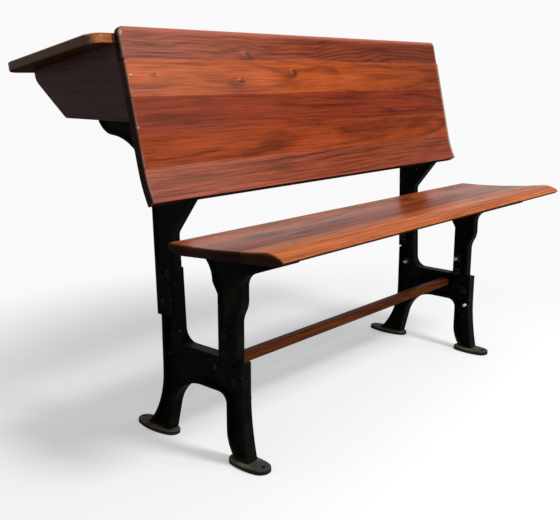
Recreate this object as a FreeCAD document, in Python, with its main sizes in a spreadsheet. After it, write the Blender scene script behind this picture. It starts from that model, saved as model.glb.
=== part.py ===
"""Double school desk: a bench on two cast-iron end frames, with a lift-lid desk box behind its back.

Frame: +X along the bench, -Y the side the bench is sat on from, +Z up, origin on the floor
at the centre of the four floor-fixing holes. Lengths are millimetres, angles degrees.
"""
import FreeCAD
import Part
import math
import os
import Sketcher

SIZES = {
    # Length of the back rest and the desk box, which the other lengths follow
    "desk_length": 1026.0,
    # End frames: where they stand and the section that all castings share
    "frame_inset": 97.5,
    "casting_width": 25.0,
    "web_thickness": 6.0,
    "rim_thickness": 6.0,
    "standard_width": 21.0,
    # Feet and their floor-fixing holes
    "foot_width": 46.0,
    "foot_side_radius": 140.0,
    "foot_thickness": 9.0,
    "foot_rounding": 2.5,
    "rear_foot_heel": 176.0,
    "rear_foot_toe": 64.0,
    "front_foot_heel": 88.0,
    "front_foot_toe": 180.0,
    "floor_hole_reach": 167.0,
    "floor_hole_diameter": 8.0,
    # Leg frame
    "rear_leg_front": 42.0,
    "rear_leg_depth": 44.0,
    "rear_leg_taper": 5.5,
    "rear_leg_top": 343.0,
    "rear_flare_run": 52.0,
    "rear_flare_height": 126.0,
    "front_leg_step": 12.0,
    "front_leg_depth": 39.0,
    "front_tongue_top": 258.0,
    "front_tongue_height": 61.0,
    "front_tongue_setback": 8.0,
    "front_toe_run": 15.0,
    "front_toe_height": 130.0,
    "front_heel_run": 20.0,
    "front_heel_height": 54.0,
    "bar_top": 199.5,
    "bar_depth": 68.0,
    "bar_rear_fillet": 27.0,
    "bar_front_fillet": 5.0,
    "arch_front_radius": 20.0,
    "arch_rear_radius": 85.0,
    "arch_rear_turn": 76.0,
    "arch_crown": 21.6,
    # Desk standard
    "rear_lap_length": 96.0,
    "rear_lap_flange": 11.0,
    "desk_standard_rise": 275.0,
    "desk_standard_lean": 1.8,
    "desk_standard_taper": 3.0,
    "ledge_tip_height": 4.0,
    "gusset_run": 51.5,
    "gusset_height": 66.0,
    "gusset_radius": 18.0,
    "ogee_drop": 146.5,
    "ogee_turn": 85.2,
    "arm_overrun": 16.0,
    "arm_tip_run": 42.6,
    "arm_tip": 10.0,
    # Seat standard
    "front_lap_length": 115.0,
    "neck_front": 115.0,
    "neck_depth": 45.5,
    "seat_standard_rise": 139.0,
    "shoulder_start": 8.0,
    "shoulder_run": 13.0,
    "shoulder_height": 48.0,
    "front_arm_drop": 59.0,
    "front_arm_radius": 27.0,
    "front_arm_turn": 70.0,
    "front_arm_reach": 127.0,
    "rear_step_drop": 80.0,
    "rear_step_run": 13.0,
    "rear_step_height": 21.0,
    "rear_arm_reach": 32.0,
    "rear_arm_height": 41.0,
    "rear_arm_tip": 10.0,
    # Frame bolts and nuts
    "bolt_diameter": 8.0,
    "bolt_head_diameter": 17.0,
    "bolt_head_height": 5.0,
    "bolt_hole_clearance": 0.5,
    "bolt_end": 3.0,
    "nut_width": 16.0,
    "nut_height": 7.0,
    "nut_clearance": 0.1,
    "rear_bolt_front": 20.0,
    "rear_bolt_back": 35.0,
    "rear_bolt_upper_drop": 11.0,
    "rear_bolt_lower_drop": 70.0,
    "leg_bolt_rise": 10.0,
    "front_bolt_back": 16.5,
    "front_bolt_front": 40.5,
    "front_bolt_upper_drop": 18.0,
    "front_bolt_middle_drop": 52.0,
    "front_bolt_lower_drop": 98.0,
    "front_spare_hole_drop": 68.0,
    # Stretcher rail
    "rail_setback": 36.0,
    "rail_drop": 26.5,
    "rail_depth": 21.0,
    "rail_height": 20.0,
    "rail_rounding": 4.0,
    "rail_screw_length": 40.0,
    # Seat, in its own tilted frame from the lower back edge
    "seat_end_inset": 6.0,
    "seat_back_overhang": 36.5,
    "seat_tilt": 3.9,
    "seat_thickness": 17.0,
    "seat_dish_radius": 1500.0,
    "seat_dish_centre": 115.0,
    "seat_back_width": 88.0,
    "seat_middle_width": 84.0,
    "seat_reach": 262.0,
    "seat_roll_depth": 36.0,
    "seat_nose_depth": 8.0,
    "seat_nose_drop": 14.0,
    "seat_nose_height": 7.5,
    "seat_lip_depth": 19.0,
    "seat_nose_radius": 20.0,
    "seat_bevel_run": 24.0,
    "seat_bevel_height": 11.0,
    "seat_back_rounding": 5.0,
    # Back rest, in its own leaning frame from the front of the lowest seam
    "back_setback": 26.5,
    "back_seam_drop": 77.0,
    "back_lean": 13.4,
    "back_thickness": 18.0,
    "back_bend_radius": 234.0,
    "back_bend": 15.2,
    "back_board_4": 58.0,
    "back_board_3": 65.0,
    "back_board_2": 66.0,
    "back_board_1": 56.0,
    "back_top_rounding": 6.0,
    "back_corner_radius": 12.0,
    # Desk box
    "box_front_height": 149.0,
    "box_side_thickness": 18.0,
    "box_board_thickness": 12.0,
    "box_rail_thickness": 16.0,
    "box_bottom_depth": 143.0,
    "knee_run": 96.0,
    "box_rear_height": 17.7,
    "box_knee_radius": 18.0,
    "box_rear_radius": 28.0,
    "box_board_inset": 4.0,
    # Desk top, in its own sloping frame from its upper front edge
    "top_end_overhang": 45.0,
    "top_slope": 10.0,
    "top_thickness": 18.0,
    "lid_overhang": 36.0,
    "top_corner_radius": 26.0,
    "strip_depth": 68.0,
    "lid_gap": 1.0,
    "lid_rest_gap": 0.3,
    "batten_width": 42.0,
    "batten_thickness": 14.0,
    "batten_inset": 10.0,
    "batten_end_distance": 253.0,
    "batten_clearance": 16.7,
    "batten_rounding": 2.0,
    "inkwell_diameter": 44.0,
    "inkwell_end_distance": 233.0,
    "inkwell_setback": 33.0,
    "pen_groove_gap": 100.0,
    "pen_groove_width": 11.0,
    "pen_groove_depth": 4.0,
    "pen_groove_setback": 14.0,
    "pen_groove_start": 40.0,
    "top_edge_rounding": 3.0,
    # Lid hinges
    "hinge_end_distance": 153.0,
    "hinge_length": 62.0,
    "leaf_width": 26.0,
    "leaf_thickness": 2.0,
    "knuckle_diameter": 8.0,
    "knuckle_length": 20.0,
    "knuckle_gap": 0.3,
    "pin_diameter": 4.0,
    "pin_clearance": 0.05,
    "pin_rise": 1.5,
    "leaf_clearance": 0.3,
    "groove_clearance": 0.7,
    # Wood screws
    "screw_diameter": 5.0,
    "screw_head_diameter": 10.0,
    "screw_head_height": 3.0,
    "screw_hole_clearance": 0.2,
    "seat_screw_inset": 7.0,
    "seat_screw_back": 27.5,
    "seat_screw_front": 201.0,
    "seat_screw_length": 24.0,
    "back_screw_low": 12.0,
    "back_screw_high": 44.0,
    "back_screw_length": 18.0,
    "box_screw_front": 6.0,
    "box_screw_back": 101.0,
    "box_screw_length": 15.0,
}

doc = FreeCAD.newDocument("school_desk")
sheet = doc.addObject("Spreadsheet::Sheet", "sizes")
for row, (word, number) in enumerate(SIZES.items(), start=1):
    sheet.set(f"A{row}", word)
    sheet.set(f"B{row}", str(number))
    sheet.setAlias(f"B{row}", word)
doc.recompute()


class Size:
    """A number together with the sheet formula that gives it."""

    def __init__(self, value, formula):
        self.value = value
        self.formula = formula

    def __add__(self, other):
        other = as_size(other)
        return Size(self.value + other.value, f"({self.formula} + {other.formula})")

    def __sub__(self, other):
        other = as_size(other)
        return Size(self.value - other.value, f"({self.formula} - {other.formula})")

    def __mul__(self, other):
        other = as_size(other)
        return Size(self.value * other.value, f"({self.formula} * {other.formula})")

    def __truediv__(self, other):
        other = as_size(other)
        return Size(self.value / other.value, f"({self.formula} / {other.formula})")

    def __neg__(self):
        return Size(-self.value, f"(-1 * {self.formula})")


def as_size(item):
    return item if isinstance(item, Size) else Size(float(item), f"({float(item)})")


def size(word):
    return Size(SIZES[word], f"sizes.{word}")


def sine(angle):
    return Size(math.sin(math.radians(angle.value)), f"sin({angle.formula})")


def cosine(angle):
    return Size(math.cos(math.radians(angle.value)), f"cos({angle.formula})")


def tangent(angle):
    return Size(math.tan(math.radians(angle.value)), f"tan({angle.formula})")


def root(item):
    return Size(math.sqrt(item.value), f"sqrt({item.formula})")


def sweep_radius(run, height):
    """Radius of an arc that starts square to its run and rises by height."""
    return (run * run + height * height) / (run * 2)


def tangent_radius(start, heading, end):
    """Radius of the arc from start to end that leaves start along the heading angle."""
    across = end[0] - start[0]
    up = end[1] - start[1]
    cross = cosine(heading) * up - sine(heading) * across
    radius = (across * across + up * up) / (cross * 2)
    return radius if radius.value > 0 else -radius


def bind(item, path, value):
    item.setExpression(path, as_size(value).formula)


nodes = {}


def keep(item, label):
    item.Label = label
    nodes[label] = item
    return item


def new_body(name):
    return doc.addObject("PartDesign::Body", name)


def new_sketch(body, plane, offset):
    """An empty sketch on one of the body's origin planes, moved along the plane's normal."""
    sketch = body.newObject("Sketcher::SketchObject", body.Name + "_sketch")
    support = next(item for item in body.Origin.OriginFeatures if item.Role == plane)
    sketch.AttachmentSupport = [(support, "")]
    sketch.MapMode = "FlatFace"
    bind(sketch, "AttachmentOffset.Base.z", offset)
    return sketch


def hold_point(sketch, curve, end, place):
    """Ties a point of the sketch to its two coordinates in the sheet."""
    for kind, coordinate in zip(("DistanceX", "DistanceY"), place):
        coordinate = as_size(coordinate)
        index = sketch.addConstraint(Sketcher.Constraint(kind, -1, 1, curve, end, coordinate.value))
        bind(sketch, f"Constraints[{index}]", coordinate)


def hold_radius(sketch, curve, radius):
    radius = as_size(radius)
    index = sketch.addConstraint(Sketcher.Constraint("Radius", curve, radius.value))
    bind(sketch, f"Constraints[{index}]", radius)


def arc_between(start, end, radius, turn):
    """The short arc from start to end; turn is 1 for a left-hand bend and -1 for a right-hand one."""
    chord = end - start
    half = chord.Length / 2
    left = FreeCAD.Vector(-chord.y, chord.x, 0).normalize()
    centre = (start + end) / 2 + left * (turn * math.sqrt(radius * radius - half * half))
    first, last = (start, end) if turn > 0 else (end, start)
    angles = [math.atan2(point.y - centre.y, point.x - centre.x) for point in (first, last)]
    return Part.ArcOfCircle(Part.Circle(centre, FreeCAD.Vector(0, 0, 1), radius), *angles)


def outline(body, plane, offset, corners):
    """A closed sketch through corners; a corner (u, v, radius, turn) starts an arc, (u, v) a line."""
    sketch = new_sketch(body, plane, offset)
    points = [FreeCAD.Vector(as_size(c[0]).value, as_size(c[1]).value, 0) for c in corners]
    ends = []
    for corner, start, end in zip(corners, points, points[1:] + points[:1]):
        if len(corner) == 2:
            curve = sketch.addGeometry(Part.LineSegment(start, end))
            ends.append((curve, 1, 2))
        else:
            radius, turn = corner[2:]
            curve = sketch.addGeometry(arc_between(start, end, as_size(radius).value, turn))
            ends.append((curve, 1, 2) if turn > 0 else (curve, 2, 1))
            hold_radius(sketch, curve, radius)
    for (curve, first, last), (other, next_first, _) in zip(ends, ends[1:] + ends[:1]):
        sketch.addConstraint(Sketcher.Constraint("Coincident", curve, last, other, next_first))
    for (curve, first, _), corner in zip(ends, corners):
        hold_point(sketch, curve, first, corner[:2])
    return sketch


def rectangle(body, plane, offset, low, high):
    corners = [(low[0], low[1]), (high[0], low[1]), (high[0], high[1]), (low[0], high[1])]
    return outline(body, plane, offset, corners)


def circles(body, plane, offset, centres, radius):
    sketch = new_sketch(body, plane, offset)
    for centre in centres:
        middle = FreeCAD.Vector(as_size(centre[0]).value, as_size(centre[1]).value, 0)
        circle = Part.Circle(middle, FreeCAD.Vector(0, 0, 1), as_size(radius).value)
        curve = sketch.addGeometry(circle)
        hold_point(sketch, curve, 3, centre)
        hold_radius(sketch, curve, radius)
    return sketch


def extrude(kind, body, profile, forward, backward):
    """A pad or pocket of the profile, forward along its plane's normal and backward against it."""
    feature = body.newObject("PartDesign::" + kind, body.Name + "_" + kind.lower())
    feature.Profile = profile
    ways = [as_size(length) for length in (forward, backward)]
    if min(way.value for way in ways) > 0:
        feature.SideType = "Two sides"
        bind(feature, "Length2", ways[1] if kind == "Pad" else ways[0])
        bind(feature, "Length", ways[0] if kind == "Pad" else ways[1])
    else:
        is_forward = ways[0].value > 0
        feature.Reversed = is_forward if kind == "Pocket" else not is_forward
        bind(feature, "Length", ways[0] if is_forward else ways[1])
    body.Tip = feature
    return feature


def add(body, profile, forward, backward=0):
    return extrude("Pad", body, profile, forward, backward)


def cut(body, profile, forward, backward=0):
    """A pocket that has to take material away."""
    doc.recompute()
    before = body.Shape.Volume
    feature = extrude("Pocket", body, profile, forward, backward)
    doc.recompute()
    if not body.Shape.Volume < before:
        raise RuntimeError(f"{feature.Name} cuts nothing")
    return feature


def round_edges(body, radius, wanted):
    """Rounds the edges of the body so far whose middle point and direction are wanted."""
    doc.recompute()
    names = []
    for index, edge in enumerate(body.Shape.Edges, start=1):
        middle = edge.valueAt((edge.FirstParameter + edge.LastParameter) / 2)
        middle = body.Placement.inverse().multVec(middle)
        direction = body.Placement.Rotation.inverted().multVec(edge.tangentAt(edge.FirstParameter))
        if wanted(middle, direction):
            names.append(f"Edge{index}")
    base = body.Tip
    feature = body.newObject("PartDesign::Fillet", body.Name + "_fillet")
    feature.Base = (base, names)
    bind(feature, "Radius", radius)
    body.Tip = feature


def is_along(direction, axis):
    return abs(direction[axis]) > 0.999


def is_near(first, second):
    return abs(first - second) < 0.01


def place(item, x, y, z, tilt):
    """Turns a piece about the X axis by tilt and puts its origin at x, y, z."""
    item.Placement = FreeCAD.Placement(FreeCAD.Vector(), FreeCAD.Rotation(FreeCAD.Vector(1, 0, 0), 1))
    for letter, coordinate in zip("xyz", (x, y, z)):
        bind(item, "Placement.Base." + letter, coordinate)
    bind(item, "Placement.Rotation.Angle", tilt)


def mirrored(label, source):
    twin = doc.addObject("Part::Mirroring", label)
    twin.Source = source
    twin.Normal = FreeCAD.Vector(1, 0, 0)
    return keep(twin, label)


def group(name, items):
    compound = doc.addObject("Part::Compound", name)
    compound.Links = items
    return compound


def drilled(label, blank, drills):
    """The blank with the drills' shapes cut out of it."""
    holed = doc.addObject("Part::Cut", label)
    holed.Base = blank
    holed.Tool = group(label + "_drills", drills)
    return keep(holed, label)


# Planes of the left end frame
half = Size(0.5, "0.5")
zero = Size(0.0, "0")
half_length = size("desk_length") * half
frame_plane = size("frame_inset") - half_length
half_width = size("casting_width") * half
half_web = size("web_thickness") * half
recess = half_width - half_web
lap_plane = frame_plane - half_web
outer_plane = frame_plane - half_width
inner_plane = frame_plane + half_width
standard_inward = size("standard_width") - recess
rim = size("rim_thickness")

# Heights of the frame's joints, of the seat and of the desk box
rear_leg_top = size("rear_leg_top")
rear_lap_bottom = rear_leg_top - size("rear_lap_length")
front_tongue_top = size("front_tongue_top")
front_leg_shoulder = front_tongue_top - size("front_tongue_height")
front_lap_bottom = front_tongue_top - size("front_lap_length")
bar_top = size("bar_top")
bar_bottom = bar_top - size("bar_depth")
box_bottom = rear_leg_top + size("desk_standard_rise")
back_z = box_bottom - size("back_seam_drop")
top_z = box_bottom + size("box_front_height")
seat_back_z = front_tongue_top + size("seat_standard_rise")

# Depths of the legs, the neck, the back rest and the box
rear_front = size("rear_leg_front")
rear_top_front = rear_front + size("rear_leg_taper")
rear_back = rear_front + size("rear_leg_depth")
standard_back = rear_back + size("rear_lap_flange")
neck_front = -size("neck_front")
neck_back = neck_front + size("neck_depth")
tongue_back = neck_back - size("front_tongue_setback")
front_front = neck_front - size("front_leg_step")
front_back = front_front + size("front_leg_depth")
seat_back_y = neck_back + size("seat_back_overhang")
back_y = rear_front - size("back_setback")
knee_start = standard_back + size("box_bottom_depth")
box_reach = knee_start + size("knee_run")

# Lean of the back rest and slope of the desk top
lean = size("back_lean")
slope = size("top_slope")
back_thickness = size("back_thickness")
top_thickness = size("top_thickness")


def on_back(across, along):
    """Place in the YZ plane of a point of the back rest's own frame."""
    across, along = as_size(across), as_size(along)
    y = back_y + across * cosine(lean) + along * sine(lean)
    z = back_z - across * sine(lean) + along * cosine(lean)
    return y, z


def back_rear_y(z):
    """Where the flat rear of the back rest stands at a height."""
    return back_y + (as_size(z) - back_z) * tangent(lean) + back_thickness / cosine(lean)


top_y = back_rear_y(top_z)


def on_top(along, up):
    """Place in the YZ plane of a point of the desk top's own frame."""
    along, up = as_size(along), as_size(up)
    y = top_y + along * cosine(slope) + up * sine(slope)
    z = top_z - along * sine(slope) + up * cosine(slope)
    return y, z


def below_top(y):
    """Height of the desk top's underside over a place."""
    return top_z - top_thickness / cosine(slope) - (as_size(y) - top_y) * tangent(slope)


seat_tilt = size("seat_tilt")


def on_seat(along, up):
    """Place in the YZ plane of a point of the seat's own frame, along from the back edge."""
    along, up = as_size(along), as_size(up)
    y = seat_back_y - along * cosine(seat_tilt) + up * sine(seat_tilt)
    z = seat_back_z + along * sine(seat_tilt) + up * cosine(seat_tilt)
    return y, z


def seat_under(y):
    """Height of the seat's flat underside at a place."""
    return seat_back_z - (as_size(y) - seat_back_y) * tangent(seat_tilt)


def turned(name, corners):
    """A body turned about its own Z axis; corners are (radius, height)."""
    body = new_body(name)
    profile = outline(body, "XZ_Plane", 0, corners)
    feature = body.newObject("PartDesign::Revolution", name + "_turn")
    feature.Profile = profile
    feature.ReferenceAxis = (profile, ["V_Axis"])
    feature.Angle = 360.0
    body.Tip = feature
    return body


def screw_and_drill(name, length, x, y, z, tilt, is_sunk):
    """A wood screw with its head's top at a place, and the drill that makes room for it."""
    radius = size("screw_diameter") * half
    head = size("screw_head_diameter") * half
    height = size("screw_head_height")
    way = radius + size("screw_hole_clearance")
    top = zero if is_sunk else height
    bottom = top - height
    over = height * 2
    point = [(0, top - length), (radius, top - length), (radius, bottom)]
    bore = [(0, top - length), (way, top - length)]
    if is_sunk:
        screw = turned(name, point + [(head, top), (0, top)])
        drill = turned(name + "_drill", bore + [(way, bottom), (head, top), (head, over), (0, over)])
    else:
        screw = turned(name, point + [(head, bottom), (head, top), (0, top)])
        drill = turned(name + "_drill", bore + [(way, over), (0, over)])
    for item in (screw, drill):
        place(item, x, y, z, tilt)
    return screw, drill


# Screws and the drills that fit them, on the left and on the right
rim_screw_x = lap_plane + standard_inward * half
seat_screw_x = outer_plane + size("seat_screw_inset")
screws = {"seat": [], "back": [], "box": []}
drills = {"seat": [], "back": [], "box": []}
left_drills = {"seat": [], "back": [], "box": []}


def dish_height(along):
    """Thickness of the dished seat at a distance from its back edge."""
    offset = as_size(along) - size("seat_dish_centre")
    radius = size("seat_dish_radius")
    return size("seat_thickness") + radius - root(radius * radius - offset * offset)


def fix_screws(kind, length, left_x, spots, tilt, is_sunk):
    for index, (y, z) in enumerate(spots):
        for side, x in (("left", left_x), ("right", -left_x)):
            name = f"{side}_{kind}_screw_{index}"
            screw, drill = screw_and_drill(name, length, x, y, z, tilt, is_sunk)
            screws[kind].append(screw)
            drills[kind].append(drill)
            if side == "left":
                left_drills[kind].append(drill)


seat_screw_places = [size("seat_screw_back"), size("seat_screw_front")]
fix_screws("seat", size("seat_screw_length"), seat_screw_x,
           [on_seat(s, dish_height(s)) for s in seat_screw_places], -seat_tilt, True)
back_screw_places = [size("back_screw_low"), size("back_screw_high")]
fix_screws("back", size("back_screw_length"), rim_screw_x,
           [on_back(back_thickness + rim, s) for s in back_screw_places], -(lean + 90), False)
box_screw_places = [standard_back + size("box_screw_front"), standard_back + size("box_screw_back")]
fix_screws("box", size("box_screw_length"), rim_screw_x,
           [(s, box_bottom - rim) for s in box_screw_places], as_size(180), False)


# Castings: a rim round the outline, with a thinner web inside it
def casting(name, plane, corners, inward, outward, web_inward, web_outward):
    body = new_body(name)
    edge = outline(body, "YZ_Plane", plane, corners)
    add(body, edge, inward, outward)
    inset = body.newObject("PartDesign::SubShapeBinder", name + "_inset")
    inset.Support = [(edge, "")]
    inset.MakeFace = True
    bind(inset, "Offset", -rim)
    cut(body, inset, inward, outward)
    add(body, inset, web_inward, web_outward)
    return body


# Leg frame: two legs joined by a crossbar, arched below, with a foot under each leg
foot_top = size("foot_thickness")
arch_radius = size("arch_rear_radius")
arch_turn = size("arch_rear_turn")
arch_end_y = arch_radius * sine(arch_turn) - size("arch_crown")
arch_end_z = bar_bottom - arch_radius + arch_radius * cosine(arch_turn)
arch_foot_y = arch_end_y + (arch_end_z - foot_top) / tangent(arch_turn)
rear_flare = sweep_radius(size("rear_flare_run"), size("rear_flare_height"))
front_toe = sweep_radius(size("front_toe_run"), size("front_toe_height"))
front_heel = sweep_radius(size("front_heel_run"), size("front_heel_height"))
rear_fillet = size("bar_rear_fillet")
front_fillet = size("bar_front_fillet")
arch_front = size("arch_front_radius")
leg_corners = [
    (arch_foot_y, foot_top),
    (rear_back + size("rear_flare_run"), foot_top, rear_flare, -1),
    (rear_back, foot_top + size("rear_flare_height")),
    (rear_back, rear_leg_top),
    (rear_top_front, rear_leg_top),
    (rear_front, bar_top + rear_fillet, rear_fillet, -1),
    (rear_front - rear_fillet, bar_top),
    (tongue_back + front_fillet, bar_top, front_fillet, -1),
    (tongue_back, bar_top + front_fillet),
    (tongue_back, front_tongue_top),
    (neck_front, front_tongue_top),
    (neck_front, front_leg_shoulder),
    (front_front, front_leg_shoulder),
    (front_front, foot_top + size("front_toe_height"), front_toe, -1),
    (front_front - size("front_toe_run"), foot_top),
    (front_back - size("front_heel_run"), foot_top, front_heel, 1),
    (front_back, foot_top + size("front_heel_height")),
    (front_back, bar_bottom - arch_front, arch_front, -1),
    (front_back + arch_front, bar_bottom),
    (-size("arch_crown"), bar_bottom, arch_radius, -1),
    (arch_end_y, arch_end_z),
]
leg = casting("left_leg_blank", frame_plane, leg_corners, half_width, half_width, half_web, half_web)


foot_wide = size("foot_width") * half
foot_side = size("foot_side_radius")


def foot(low, high):
    """A leaf-shaped foot under a leg, of four arcs that run into each other, between two places along Y."""
    length = (high - low) * half
    middle = (high + low) * half
    spare = foot_side * foot_wide * 2 - length * length - foot_wide * foot_wide
    nose = spare / ((foot_side - length) * 2)
    tip = (foot_side - foot_wide) * nose / (foot_side - nose)
    reach = foot_side * (length - nose) / (foot_side - nose)
    corners = [
        (frame_plane - tip, middle - reach, nose, 1),
        (frame_plane + tip, middle - reach, foot_side, 1),
        (frame_plane + tip, middle + reach, nose, 1),
        (frame_plane - tip, middle + reach, foot_side, 1),
    ]
    add(leg, outline(leg, "XY_Plane", 0, corners), foot_top)
    round_edges(leg, size("foot_rounding"), lambda middle, direction: (
        is_near(middle.z, foot_top.value) and low.value - 0.01 < middle.y < high.value + 0.01
        and (is_near(abs(middle.x - frame_plane.value), foot_wide.value)
             or is_near(middle.y, low.value) or is_near(middle.y, high.value))))


foot(size("rear_foot_toe"), size("rear_foot_heel"))
foot(-size("front_foot_toe"), -size("front_foot_heel"))
floor_holes = [(frame_plane, size("floor_hole_reach")), (frame_plane, -size("floor_hole_reach"))]
cut(leg, circles(leg, "XY_Plane", 0, floor_holes, size("floor_hole_diameter") * half), foot_top)

# Flat seats on the leg frame's web, where the two standards lap it
rear_tongue_front = rear_top_front + rim
front_tongue_front = front_front + rim
lap_seats = [
    ((rear_tongue_front, rear_lap_bottom), (rear_back, rear_leg_top)),
    ((front_tongue_front, front_lap_bottom), (neck_back, front_leg_shoulder)),
    ((neck_front, front_leg_shoulder), (neck_back, front_tongue_top)),
]
nut_seats = lap_seats[:2] + [((neck_front + rim, front_leg_shoulder), (neck_back, front_tongue_top))]
for low, high in lap_seats:
    cut(leg, rectangle(leg, "YZ_Plane", outer_plane, low, high), recess)
for low, high in nut_seats:
    cut(leg, rectangle(leg, "YZ_Plane", inner_plane, low, high), 0, recess)
neck_wall = rectangle(leg, "YZ_Plane", inner_plane, (neck_front, front_leg_shoulder),
                      (neck_front + rim, front_tongue_top))
cut(leg, neck_wall, 0, inner_plane - lap_plane - standard_inward)

# Bolt holes that go through the leg frame
bolt_radius = size("bolt_diameter") * half
bolt_hole_radius = bolt_radius + size("bolt_hole_clearance")
rear_bolt_front = rear_front + size("rear_bolt_front")
rear_bolt_back = rear_front + size("rear_bolt_back")
rear_bolt_upper = rear_leg_top - size("rear_bolt_upper_drop")
rear_lap_bolts = [
    (rear_bolt_front, rear_bolt_upper),
    (rear_bolt_back, rear_leg_top - size("rear_bolt_lower_drop")),
]
front_bolt_back = neck_back - size("front_bolt_back")
front_bolt_front = neck_back - size("front_bolt_front")
front_lap_bolts = [
    (front_bolt_back, front_tongue_top - size("front_bolt_upper_drop")),
    (front_bolt_back, front_tongue_top - size("front_bolt_middle_drop")),
    (front_bolt_front, front_tongue_top - size("front_bolt_lower_drop")),
]
leg_bolt = (rear_bolt_front, bar_top + size("leg_bolt_rise"))
rail_middle = (front_back + size("rail_setback"), bar_top - size("rail_drop"))
screw_way = size("screw_diameter") * half + size("screw_hole_clearance")
leg_holes = rear_lap_bolts + front_lap_bolts + [leg_bolt]
cut(leg, circles(leg, "YZ_Plane", frame_plane, leg_holes, bolt_hole_radius), half_width, half_width)
cut(leg, circles(leg, "YZ_Plane", frame_plane, [rail_middle], screw_way), half_width, half_width)
keep(leg, "left_leg_frame")
mirrored("right_leg_frame", leg)

# Desk standard: lapped on the rear leg, with a ledge under the back rest and an ogee arm under the box
bend = size("back_bend")
bend_radius = size("back_bend_radius")
back_foot_front = on_back(bend_radius * cosine(bend) - bend_radius, -bend_radius * sine(bend))
back_outer = bend_radius + back_thickness
back_foot_rear = on_back(back_outer * cosine(bend) - bend_radius, -back_outer * sine(bend))
gusset_foot_y = rear_top_front + size("desk_standard_taper")
gusset_run = size("gusset_run")
gusset_height = size("gusset_height")
ledge_tip_y = gusset_foot_y - gusset_run
ledge_slope = (back_foot_front[1] - back_foot_rear[1]) / (back_foot_rear[0] - back_foot_front[0])
ledge_tip_z = back_foot_rear[1] + (back_foot_rear[0] - ledge_tip_y) * ledge_slope
arm_reach = knee_start + size("arm_overrun")
ogee_bottom = box_bottom - size("ogee_drop")
standard_lean = size("desk_standard_lean")
ogee_turn = standard_lean + size("ogee_turn")
ogee_start_y = standard_back + (ogee_bottom - rear_lap_bottom) * tangent(standard_lean)
ogee_run = arm_reach - size("arm_tip_run") - ogee_start_y
ogee_radius = ogee_run / (cosine(standard_lean) - cosine(ogee_turn))
ogee_rise = ogee_radius * (sine(ogee_turn) - sine(standard_lean))
ogee_end = (ogee_start_y + ogee_run, ogee_bottom + ogee_rise)
arm_end = (arm_reach, box_bottom - size("arm_tip"))
ogee_heading = as_size(90) - ogee_turn
relief_z = back_foot_rear[1] + rim * 2
relief = (back_rear_y(relief_z), relief_z)
gusset_top = ledge_tip_z - size("ledge_tip_height")
gusset_foot_z = gusset_top - gusset_height
gusset_slant = root(gusset_run * gusset_run + gusset_height * gusset_height)
gusset_ease = size("gusset_radius") * (gusset_slant - gusset_height) / gusset_run
gusset_share = gusset_ease / gusset_slant
desk_corners = [
    (rear_tongue_front, rear_lap_bottom),
    (standard_back, rear_lap_bottom),
    (ogee_start_y, ogee_bottom, ogee_radius, -1),
    (*ogee_end, tangent_radius(ogee_end, ogee_heading, arm_end), 1),
    arm_end,
    (arm_reach, box_bottom),
    (back_rear_y(box_bottom), box_bottom),
    relief,
    back_foot_rear,
    (ledge_tip_y, ledge_tip_z),
    (ledge_tip_y, gusset_top),
    (gusset_foot_y - gusset_run * gusset_share, gusset_foot_z + gusset_height * gusset_share,
     size("gusset_radius"), -1),
    (gusset_foot_y, gusset_foot_z - gusset_ease),
    (rear_top_front, rear_leg_top),
    (rear_tongue_front, rear_leg_top),
]
web = size("web_thickness")
desk_standard = casting("left_desk_blank", lap_plane, desk_corners, standard_inward, recess, 0, web)
tongue = rectangle(desk_standard, "YZ_Plane", lap_plane, (rear_tongue_front, rear_lap_bottom),
                   (standard_back, rear_leg_top))
add(desk_standard, tongue, 0, recess)
lap_room = outline(desk_standard, "YZ_Plane", lap_plane, [
    (rear_tongue_front - rim, rear_lap_bottom - rim),
    (ogee_start_y, rear_lap_bottom - rim),
    (ogee_start_y, ogee_bottom),
    (ogee_start_y - rim, ogee_bottom),
    (standard_back - rim, rear_leg_top),
    (rear_tongue_front - rim, rear_leg_top),
])
cut(desk_standard, lap_room, standard_inward)
spare_hole = (rear_bolt_back, rear_bolt_upper)
desk_holes = rear_lap_bolts + [spare_hole]
cut(desk_standard, circles(desk_standard, "YZ_Plane", lap_plane, desk_holes, bolt_hole_radius), 0, recess)
left_desk = drilled("left_desk_standard", desk_standard, left_drills["back"] + left_drills["box"])
mirrored("right_desk_standard", left_desk)

# Seat standard: lapped on the front leg, with a shouldered neck and two arms under the seat
shoulder_front = neck_front - size("shoulder_run")
shoulder_run = size("shoulder_run") * half
shoulder_height = size("shoulder_height") * half
shoulder_radius = sweep_radius(shoulder_run, shoulder_height)
shoulder_bottom = front_tongue_top + size("shoulder_start")
shoulder_top = shoulder_bottom + size("shoulder_height")
front_radius = size("front_arm_radius")
front_turn = size("front_arm_turn")
front_bend_y = shoulder_front - front_radius + front_radius * cosine(front_turn)
front_arm_start = seat_back_z - size("front_arm_drop")
front_bend_z = front_arm_start + front_radius * sine(front_turn)
front_tip_y = neck_front - size("front_arm_reach")
front_tip_z = front_bend_z + (front_bend_y - front_tip_y) / tangent(front_turn)
step_back = neck_back + size("rear_step_run")
step_bottom = seat_back_z - size("rear_step_drop")
step_top = step_bottom + size("rear_step_height")
rear_tip_y = neck_back + size("rear_arm_reach")
rear_tip_z = step_top + size("rear_arm_height")
rear_arm_radius = sweep_radius(rear_tip_y - step_back, size("rear_arm_height"))
bearing_y = on_seat(size("seat_bevel_run"), zero)[0]
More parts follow.
